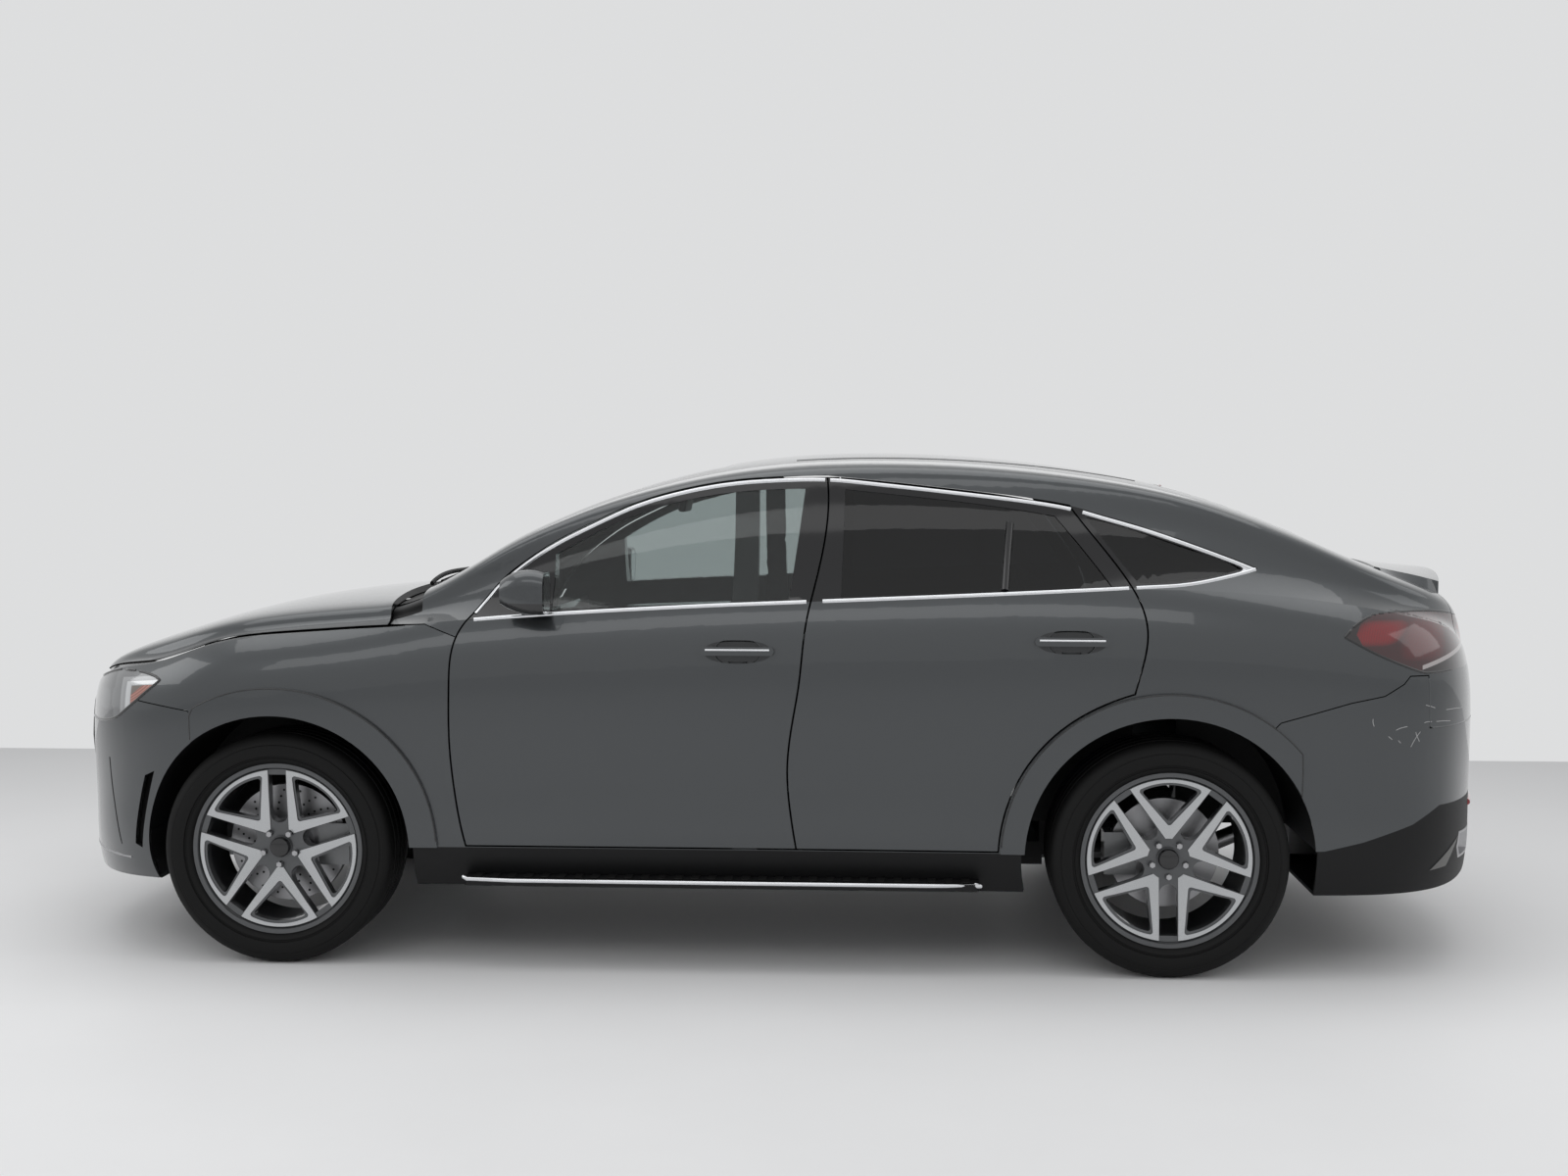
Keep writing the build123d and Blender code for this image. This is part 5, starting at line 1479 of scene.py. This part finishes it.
    def lip_ends(self, gate: Skin) -> None:
        """Run the tailgate's lip out into the panel at both ends.

        Args:
            gate: the tailgate's surface.
        """
        bm = bmesh.new()
        rows: list[list[bmesh.types.BMEdge]] = []
        for i in range(16):
            x = self.lip_front - self.lip_step * i
            foot = gate.top(x, self.lip_foot_y)
            crest = [gate.top(x, 0.50 + 0.002 * k) for k in range(48)]
            high = [p for p in crest if p is not None and foot is not None and p.z > foot.z + 0.006]
            if foot is None or not high:
                continue
            top = high[-1]
            ring = [bm.verts.new(p) for p in (top, foot, Vector((x, top.y - 0.004, foot.z - 0.006)))]
            rows.append([bm.edges.new((ring[k], ring[(k + 1) % 3])) for k in range(3)])
        for a, b in zip(rows, rows[1:]):
            bmesh.ops.bridge_loops(bm, edges=a + b)
        bmesh.ops.holes_fill(bm, edges=bm.edges, sides=0)
        Maker.pair(bm, "lip_end", MATERIALS.paint(), "tailgate", "tailgate")

    def pipe_trim(self, low: Skin) -> None:
        """Lay the satin corner trim beside each exhaust outlet.

        Args:
            low: the valance's surface.
        """
        bm = bmesh.new()
        bmesh.ops.create_grid(bm, x_segments=14, y_segments=6, size=0.5)
        lost: list[bmesh.types.BMVert] = []
        a, b, c, d = self.trim
        for v in bm.verts:
            u, w = v.co.x + 0.5, v.co.y + 0.5
            x, z = ((1 - w) * ((1 - u) * p + u * q) + w * ((1 - u) * r + u * t)
                    for p, q, r, t in zip(a, b, c, d))
            hit = low.side(x, z, 0.0015)
            if hit is None:
                lost.append(v)
            else:
                v.co = hit
        bmesh.ops.delete(bm, geom=lost, context="VERTS")
        Maker.pair(bm, "pipe_trim", MATERIALS.plain(SATIN))


@dataclass
class ArchSeamShade:
    """Painted shade along the outer edges of the arch flares: dark lines where the joint's gap falls in
    shade.
    """

    start: float = -4.0
    stop: float = 184.0
    steps: int = 72
    inner_r: float = 0.44
    search_step: float = 0.002
    searches: int = 90
    radius: float = 0.0022

    def build(self) -> None:
        """Follow each left flare's outer edge and mirror the line of painted shade."""
        flare = Skin(["arch_flares"])
        for end in End:
            x0 = end.value[0]
            line: list[Vector] = []
            for i in range(self.steps + 1):
                a = math.radians(self.start + (self.stop - self.start) * i / self.steps)
                reach = [self.inner_r + self.search_step * k for k in range(self.searches)]
                hits = found([flare.side(x0 + r * math.cos(a), AXLE_Z + r * math.sin(a)) for r in reach])
                edge = [p for p in hits if p.y > 0.86]
                if edge:
                    line.append(edge[-1] + Vector((0, -0.0004, 0)))
            # A gloss black bead as painted shade in the joint between the painted flare and the body.
            strip(line, self.radius, f"{end.word}_arch_seam", GLOSS_BLACK)


@dataclass
class Wells:
    """Splash panels that carry the front liners on down to the bumper."""

    r: float = 0.4555
    start: float = 6.0
    thickness: float = 0.003
    panel_y: Point = (0.49, 0.85)
    edge_y: Point = (0.84, 0.892)

    def build(self) -> None:
        """Sweep the panel and its outer edge round each front wheel's axis."""
        self.sweep("splash_panel", self.panel_y, 22.0, 10)
        self.sweep("splash_edge", self.edge_y, 14.0, 8)

    def sweep(self, name: str, across: Point, angle: float, steps: int) -> None:
        """Sweep one curved panel and mirror it.

        Args:
            name: the piece's name.
            across: its inner and outer edge in Y.
            angle: how far it goes round, in degrees.
            steps: segments round the axis.
        """
        axle = Vector((End.FRONT.value[0], 0.0, AXLE_Z))
        a = math.radians(self.start)
        at = axle + Vector((self.r * math.cos(a), 0, self.r * math.sin(a)))
        bm = bmesh.new()
        verts = [bm.verts.new((at.x, y, at.z)) for y in across]
        edge = bm.edges.new(verts)
        bmesh.ops.spin(bm, geom=[*verts, edge], cent=axle, axis=(0, 1, 0), dvec=(0, 0, 0),
                       angle=math.radians(angle), steps=steps, use_merge=False)
        bmesh.ops.recalc_face_normals(bm, faces=bm.faces)
        bmesh.ops.solidify(bm, geom=bm.faces, thickness=self.thickness)
        Maker.pair(bm, name, MATERIALS.plain(BLACK_PLASTIC))


@dataclass
class Wipers:
    """Two wipers parked along the foot of the windscreen."""

    sweeps: tuple[tuple[Point, Point, Point], ...] = (((1.172, 0.560), (1.130, 0.300), (1.070, -0.060)),
                                                      ((1.180, -0.060), (1.150, -0.320), (1.090, -0.600)))
    blade: float = 0.0055
    arm: float = 0.008
    arm_lift: float = 0.012
    arm_rise: float = 0.014

    def build(self) -> None:
        """Lay each blade on the glass with its arm from the cowl."""
        skin = Skin(["fixed_glass", "cowl"])
        for i, sweep in enumerate(self.sweeps):
            line = smooth_line(sweep, 10)
            low = [skin.top(x, y, 0.006) for x, y in line[4:]]
            strip(found(low), self.blade, f"wiper_blade_{i}", RUBBER, twin_body=None)
            high = [skin.top(x, y, self.arm_lift + self.arm_rise * math.sin(math.pi * min(k / 12, 1.0)))
                    for k, (x, y) in enumerate(line[:13])]
            strip(found(high), self.arm, f"wiper_arm_{i}", BLACK_PLASTIC, twin_body=None)


@dataclass
class Pad:
    """One stuffed pad: its block, tilt and sewn channels."""

    name: str
    size: tuple[float, float, float]
    centre: tuple[float, float, float]
    tilt: float = 0.0
    bevel: float = 0.03
    voxel: float = 0.012
    cap: float = 0.024
    channels: tuple[float, ...] = ()

    def build(self) -> bpy.types.Object:
        """Make the pad, puff it up and sew its channels.

        Returns:
            The finished pad.
        """
        half = [v / 2 for v in self.size]
        bm = Maker.box([-v for v in half], half, self.bevel, 3)
        turn = Matrix.Translation(self.centre) @ Matrix.Rotation(math.radians(self.tilt), 4, "Y")
        bmesh.ops.transform(bm, matrix=turn, verts=bm.verts)
        obj = Maker.finish(bm, self.name, "body", MATERIALS.plain(LEATHER))
        self.puff(obj)
        self.sew(obj, turn)
        return obj

    @staticmethod
    def bake(obj: bpy.types.Object) -> None:
        """Apply every modifier of an object to its mesh.

        Args:
            obj: the object to settle.
        """
        view = bpy.context.evaluated_depsgraph_get()
        view.update()
        mesh = bpy.data.meshes.new_from_object(obj.evaluated_get(view), depsgraph=view)
        obj.modifiers.clear()
        old = obj.data
        obj.data = mesh
        bpy.data.meshes.remove(old)

    def puff(self, obj: bpy.types.Object) -> None:
        """Swell the pad as stuffed leather and hold each point to the cap.

        Args:
            obj: the pad, still a plain block.
        """
        voxel = obj.modifiers.new("voxel", "REMESH")
        voxel.mode = "VOXEL"
        voxel.voxel_size = self.voxel
        self.bake(obj)
        before = [v.co.copy() for v in obj.data.vertices]
        cloth = obj.modifiers.new("stuffing", "CLOTH")
        cloth.settings.use_pressure = True
        cloth.settings.uniform_pressure_force = 4.0
        cloth.settings.effector_weights.gravity = 0.0
        cloth.point_cache.frame_start = 1
        cloth.point_cache.frame_end = 20
        for step in range(1, 21):
            bpy.context.scene.frame_set(step)
        self.bake(obj)
        for vert, start in zip(obj.data.vertices, before):
            move = vert.co - start
            if move.length > self.cap:
                vert.co = start + move * (self.cap / move.length)
        bpy.context.scene.frame_set(1)
        finer = obj.modifiers.new("finer", "SUBSURF")
        finer.levels = 1
        finer.render_levels = 1
        self.bake(obj)
        obj.data.polygons.foreach_set("use_smooth", [True] * len(obj.data.polygons))

    def sew(self, obj: bpy.types.Object, turn: Matrix) -> None:
        """Press the channels into the pad's front.

        Args:
            obj: the pad.
            turn: the pad's place and lean.
        """
        back = turn.inverted()
        for vert in obj.data.vertices:
            along = (back @ vert.co).x
            deep = sum(math.exp(-((along - c) / 0.007) ** 2) for c in self.channels)
            if deep > 0.01:
                vert.co -= vert.normal * 0.006 * min(deep, 1.0)
        obj.data.update()


@dataclass
class Seats:
    """Two front seats and the rear bench, stuffed pads on plastic frames."""

    y: float = 0.385
    rear_x: float = -0.715
    fill: float = 0.6
    floor_z: float = 0.3455
    lean: float = 103.0

    def pads(self) -> list[Pad]:
        """Return the left front seat's pads and the left half of the bench's.

        Returns:
            The pads, in the order that they are built.
        """
        lines = (-0.13, -0.04, 0.05, 0.14)
        out = [Pad("seat_cushion", (0.42, 0.27, 0.085), (0.215, self.y, 0.548), -6.0, channels=lines),
               Pad("seat_back", (0.51, 0.27, 0.075), (-0.110, self.y, 0.830), 105.6, channels=lines)]
        for word, dy in (("inner", -0.195), ("outer", 0.195)):
            out.append(Pad(f"seat_cushion_{word}", (0.43, 0.075, 0.115), (0.205, self.y + dy, 0.552), -6.0))
            out.append(Pad(f"seat_back_{word}", (0.44, 0.075, 0.115), (-0.092, self.y + dy, 0.800), 105.6))
        out.append(Pad("seat_headrest", (0.055, 0.205, 0.115), (-0.222, self.y, 1.222),
                       12.0, 0.022, 0.008, 0.016))
        x = self.rear_x
        out.append(Pad("bench_cushion", (0.42, 0.56, 0.085), (x + 0.215, 0.315, 0.548), -6.0, channels=lines))
        out.append(Pad("bench_back", (0.51, 0.56, 0.075), (x - 0.110, 0.315, 0.830), 105.6, channels=lines))
        out.append(Pad("bench_headrest", (0.055, 0.205, 0.105), (x - 0.220, 0.345, 1.215),
                       12.0, 0.022, 0.008, 0.016))
        return out

    def build(self) -> None:
        """Build the pads on both sides and the frames below and behind them."""
        for pad in self.pads():
            left = pad.build()
            right = Maker.twin(left, pad.name + "_right", "body")
            node = "rear_seat" if pad.name.startswith("bench") else "front_seats"
            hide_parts(node)
            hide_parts(node)
        self.frames()

    def shell(self, half: float, ends: Point, x: float, y: float) -> bmesh.types.BMesh:
        """Return a leaning back shell.

        Args:
            half: half its width.
            ends: its upper and lower end along the back.
            x: its place along the car.
            y: its middle across the car.

        Returns:
            The shell as a bmesh.
        """
        bm = Maker.box((ends[0], -half, -0.012), (ends[1], half, 0.012), 0.010, 3)
        turn = Matrix.Translation((x - 0.176, y, 0.800)) @ Matrix.Rotation(math.radians(self.lean), 4, "Y")
        bmesh.ops.transform(bm, matrix=turn, verts=bm.verts)
        return bm

    @staticmethod
    def post(x: float, y: float) -> bmesh.types.BMesh:
        """Return one headrest post."""
        return Maker.bead([Vector((x - 0.176, y, 1.06)), Vector((x - 0.218, y, 1.20))], 0.006)

    def frames(self) -> None:
        """Build the seat bases, back shells and headrest posts."""
        y, z, x = self.y, self.floor_z, self.rear_x
        bm = Maker.box((-0.10, y - 0.235, 0.400), (0.40, y + 0.235, 0.500), 0.018, 3)
        for dy in (-0.19, 0.19):
            join(bm, Maker.box((-0.16, y + dy - 0.022, z), (0.44, y + dy + 0.022, 0.402), 0.005, 2))
        join(bm, self.shell(0.215, (-0.26, 0.24), 0.0, y))
        for dy in (-0.06, 0.06):
            join(bm, self.post(0.0, y + dy))
        Maker.pair(bm, "seat_frame", MATERIALS.plain(DASH_SKIN))
        bench = Maker.box((x - 0.06, -0.60, z), (x + 0.40, 0.60, 0.500), 0.018, 3)
        join(bench, self.shell(0.60, (-0.27, 0.25), x, 0.0))
        for y in (-0.405, -0.285, 0.285, 0.405):
            join(bench, self.post(x, y))
        Maker.finish(bench, "bench_frame", "body", MATERIALS.plain(DASH_SKIN))


@dataclass
class DoorCards:
    """Armrests and bright lines on the inside of the doors."""

    rests: tuple[tuple[str, float, float, float], ...] = (("front_door", 0.62, 0.15, 0.800),
                                                          ("rear_door", -0.42, -0.86, 0.820))
    lines: tuple[tuple[str, float, float, Finish], ...] = (("armrest", 0.0, 0.030, LEATHER),
                                                           ("card_line", 0.11, 0.006, STEEL))
    spans: int = 12
    stand: float = 0.4

    def build(self) -> None:
        """Lay an armrest and a bright line on each door's inner face."""
        for door, x0, x1, z in self.rests:
            skin = Skin([f"{door}_left"])
            for word, rise, radius, finish in self.lines:
                face = [skin.inner(x0 + (x1 - x0) * i / self.spans, z + rise) for i in range(self.spans + 1)]
                line = [p + Vector((0, -self.stand * radius, 0)) for p in found(face)]
                strip(line, radius, f"{door}_{word}", finish, f"{door}_left", f"{door}_right")


@dataclass
class EngineCover:
    """Ribbed cover on top of the engine block."""

    margin: float = 0.06
    length: float = 0.62
    ribs: int = 6
    rib_half: float = 0.012
    rib_inset: float = 0.05

    def build(self) -> None:
        """Build the cover and its ribs on the block's top face."""
        low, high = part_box("engine")
        top = high[2]
        x0, x1 = high[0] - self.length, high[0] - self.margin
        y0, y1 = low[1] + self.margin, high[1] - self.margin
        bm = Maker.box((x0, y0, top - 0.010), (x1, y1, top + 0.012), 0.009, 3)
        for i in range(self.ribs):
            y = y0 + (y1 - y0) * (i + 0.5) / self.ribs
            join(bm, Maker.box((x0 + self.rib_inset, y - self.rib_half, top + 0.008),
                               (x1 - self.rib_inset, y + self.rib_half, top + 0.018), 0.004, 2))
        Maker.finish(bm, "engine_cover", "body", MATERIALS.plain(BLACK_PLASTIC))


@dataclass
class Cabin:
    """Screens, vents and inner mirror."""

    screen_half: tuple[float, float, float] = (0.008, 0.36, 0.052)
    screen_at: tuple[float, float, float] = (0.735, 0.235, 1.118)
    screen_lean: float = 14.0
    vent_places: tuple[float, ...] = (-0.62, -0.30, -0.10, 0.70)
    vent_x: float = 0.648
    vent_z: float = 0.985
    vent_lean: float = -78.0
    mirror_half: tuple[float, float, float] = (0.014, 0.115, 0.034)
    mirror_at: tuple[float, float, float] = (0.345, 0.0, 1.520)
    mirror_lean: float = -12.0
    stalk: tuple[Point, ...] = ((0.352, 1.535), (0.385, 1.575), (0.415, 1.590))

    @staticmethod
    def block(half: Sequence[float], at: Sequence[float], lean: float, bevel: float) -> bmesh.types.BMesh:
        """Return a leaning block with round edges.

        Args:
            half: half its length on each axis.
            at: its middle.
            lean: its turn about Y, in degrees.
            bevel: the radius of its edges.

        Returns:
            The block as a bmesh.
        """
        bm = Maker.box([-v for v in half], half, bevel, 3)
        Maker.turn_y(bm, lean)
        bmesh.ops.translate(bm, vec=at, verts=bm.verts)
        return bm

    def build(self) -> None:
        """Build the fittings of the dashboard and the screen's mirror."""
        screen = self.block(self.screen_half, self.screen_at, self.screen_lean, 0.005)
        Maker.finish(screen, "dash_screens", "body", MATERIALS.plain(SCREEN))
        vents = bmesh.new()
        for y in self.vent_places:
            ring = bmesh.new()
            bmesh.ops.create_cone(ring, cap_ends=True, segments=32, radius1=0.044, radius2=0.040, depth=0.03)
            Maker.turn_y(ring, self.vent_lean)
            bmesh.ops.translate(ring, vec=(self.vent_x, y, self.vent_z), verts=ring.verts)
            face = min(ring.faces, key=lambda f: f.calc_center_median().x)
            bmesh.ops.inset_individual(ring, faces=[face], thickness=0.008, depth=-0.012)
            join(vents, ring)
        Maker.finish(vents, "dash_vents", "body", MATERIALS.plain(STEEL))
        mirror = self.block(self.mirror_half, self.mirror_at, self.mirror_lean, 0.011)
        join(mirror, Maker.bead([Vector((x, 0, z)) for x, z in self.stalk], 0.010))
        Maker.finish(mirror, "inner_mirror", "body", MATERIALS.plain(BLACK_PLASTIC))


@dataclass
class Studio:
    """Floor, light and the camera at the photograph's place."""

    floor_size: Point = (120.0, 60.0)
    floor_far: float = -3.72
    floor_near: float = 1.5
    surround: Colour = (0.725, 0.73, 0.735)
    lamp_plan: tuple[tuple[str, tuple[float, float, float], Point, float], ...] = (
        ("over", (0.0, 0.4, 4.6), (7.5, 3.2), 75.0), ("near", (0.6, 6.0, 4.6), (7.0, 1.6), 32.0),
        ("nose", (5.6, 1.6, 3.4), (3.0, 2.0), 28.0), ("tail", (-5.6, 1.2, 3.4), (3.2, 2.2), 16.0),
        ("far", (0.0, -6.0, 4.6), (7.0, 1.8), 26.0))
    aim_z: float = 0.8
    eye: tuple[float, float, float] = (-0.425, 6.896, 1.626)
    yaw: float = 0.0583
    pitch: float = 0.0613
    focal_px: float = 1876.75
    image_px: float = 1600
    sensor: float = 36.0

    def build(self) -> None:
        """Build the stage."""
        self.floor()
        self.world()
        self.lamps()
        self.camera()

    def floor(self) -> None:
        """Lay a plain pale floor with painted shade that darkens it towards its far edge."""
        bm = bmesh.new()
        bmesh.ops.create_grid(bm, x_segments=1, y_segments=1, size=0.5)
        bmesh.ops.scale(bm, vec=(*self.floor_size, 1.0), verts=bm.verts)
        bmesh.ops.translate(bm, vec=(0.0, self.floor_size[1] / 2 + self.floor_far, 0.0), verts=bm.verts)
        mesh = bpy.data.meshes.new("floor")
        bm.to_mesh(mesh)
        bm.free()
        material, n, shader = MATERIALS.blank("pale_floor")
        group = MATERIALS.surface(n, Finish("pale_floor", (0.82, 0.82, 0.825), 0.55, mottle=0.04, scale=1.2))
        # Painted shade: the floor's colour falls from pale near the car to darker grey at its far edge.
        near = n.add("ShaderNodeMapRange")
        n.link(n.axes()[1], near.inputs[0])
        near.inputs[1].default_value = self.floor_far
        near.inputs[2].default_value = self.floor_near
        shade = n.mix(near.outputs[0], (0.56, 0.56, 0.565, 1.0), group.outputs["Colour"])
        n.link(shade, shader.inputs["Base Color"])
        n.link(group.outputs["Roughness"], shader.inputs["Roughness"])
        mesh.materials.append(material)
        obj = bpy.data.objects.new("floor", mesh)
        bpy.context.scene.collection.objects.link(obj)

    def world(self) -> None:
        """Light the scene with a pale, even surround."""
        world = bpy.data.worlds.new("studio")
        bpy.context.scene.world = world
        world.use_nodes = True
        n = Nodes(world.node_tree)
        ground = world.node_tree.nodes["Background"]
        ground.inputs["Color"].default_value = (*self.surround, 1.0)
        path = n.add("ShaderNodeLightPath")
        seen = n.math("MAXIMUM", path.outputs["Is Camera Ray"],
                      n.math("MAXIMUM", path.outputs["Is Glossy Ray"], path.outputs["Is Transmission Ray"]))
        n.link(n.blend(seen, 0.98, 1.0), ground.inputs["Strength"])

    def lamps(self) -> None:
        """Hang soft boxes over the car and beside it."""
        for name, place, size, power in self.lamp_plan:
            lamp = bpy.data.lights.new(name, "AREA")
            lamp.shape = "RECTANGLE"
            lamp.size, lamp.size_y = size
            lamp.energy = power
            obj = bpy.data.objects.new(name, lamp)
            obj.location = place
            aim = Vector((0, 0, self.aim_z)) - Vector(place)
            obj.rotation_euler = aim.to_track_quat("-Z", "Y").to_euler()
            bpy.context.scene.collection.objects.link(obj)

    def camera(self) -> None:
        """Set the camera where the photograph was taken."""
        data = bpy.data.cameras.new("camera")
        data.sensor_width = self.sensor
        data.lens = self.focal_px / self.image_px * self.sensor
        obj = bpy.data.objects.new("camera", data)
        level = math.cos(self.pitch)
        way = Vector((math.sin(self.yaw) * level, -math.cos(self.yaw) * level, -math.sin(self.pitch)))
        obj.location = self.eye
        obj.rotation_euler = way.to_track_quat("-Z", "Y").to_euler()
        bpy.context.scene.collection.objects.link(obj)
        bpy.context.scene.camera = obj


def main() -> None:
    """Build every sub-assembly, the wheels and the studio in order."""
    bpy.context.scene.view_settings.view_transform = "Standard"
    BodyDress().dress()
    for assembly in (WindowTrim(), Handles(), Mirrors(), Steps(), Nose(), Tail(), ArchSeamShade(), Wells(),
                     Seats(), Wipers(), Cabin(), DoorCards(), EngineCover()):
        assembly.build()
    for end in End:
        for side in Side:
            Wheel(end, side).build()
    Studio().build()


if __name__ == "__main__":
    main()
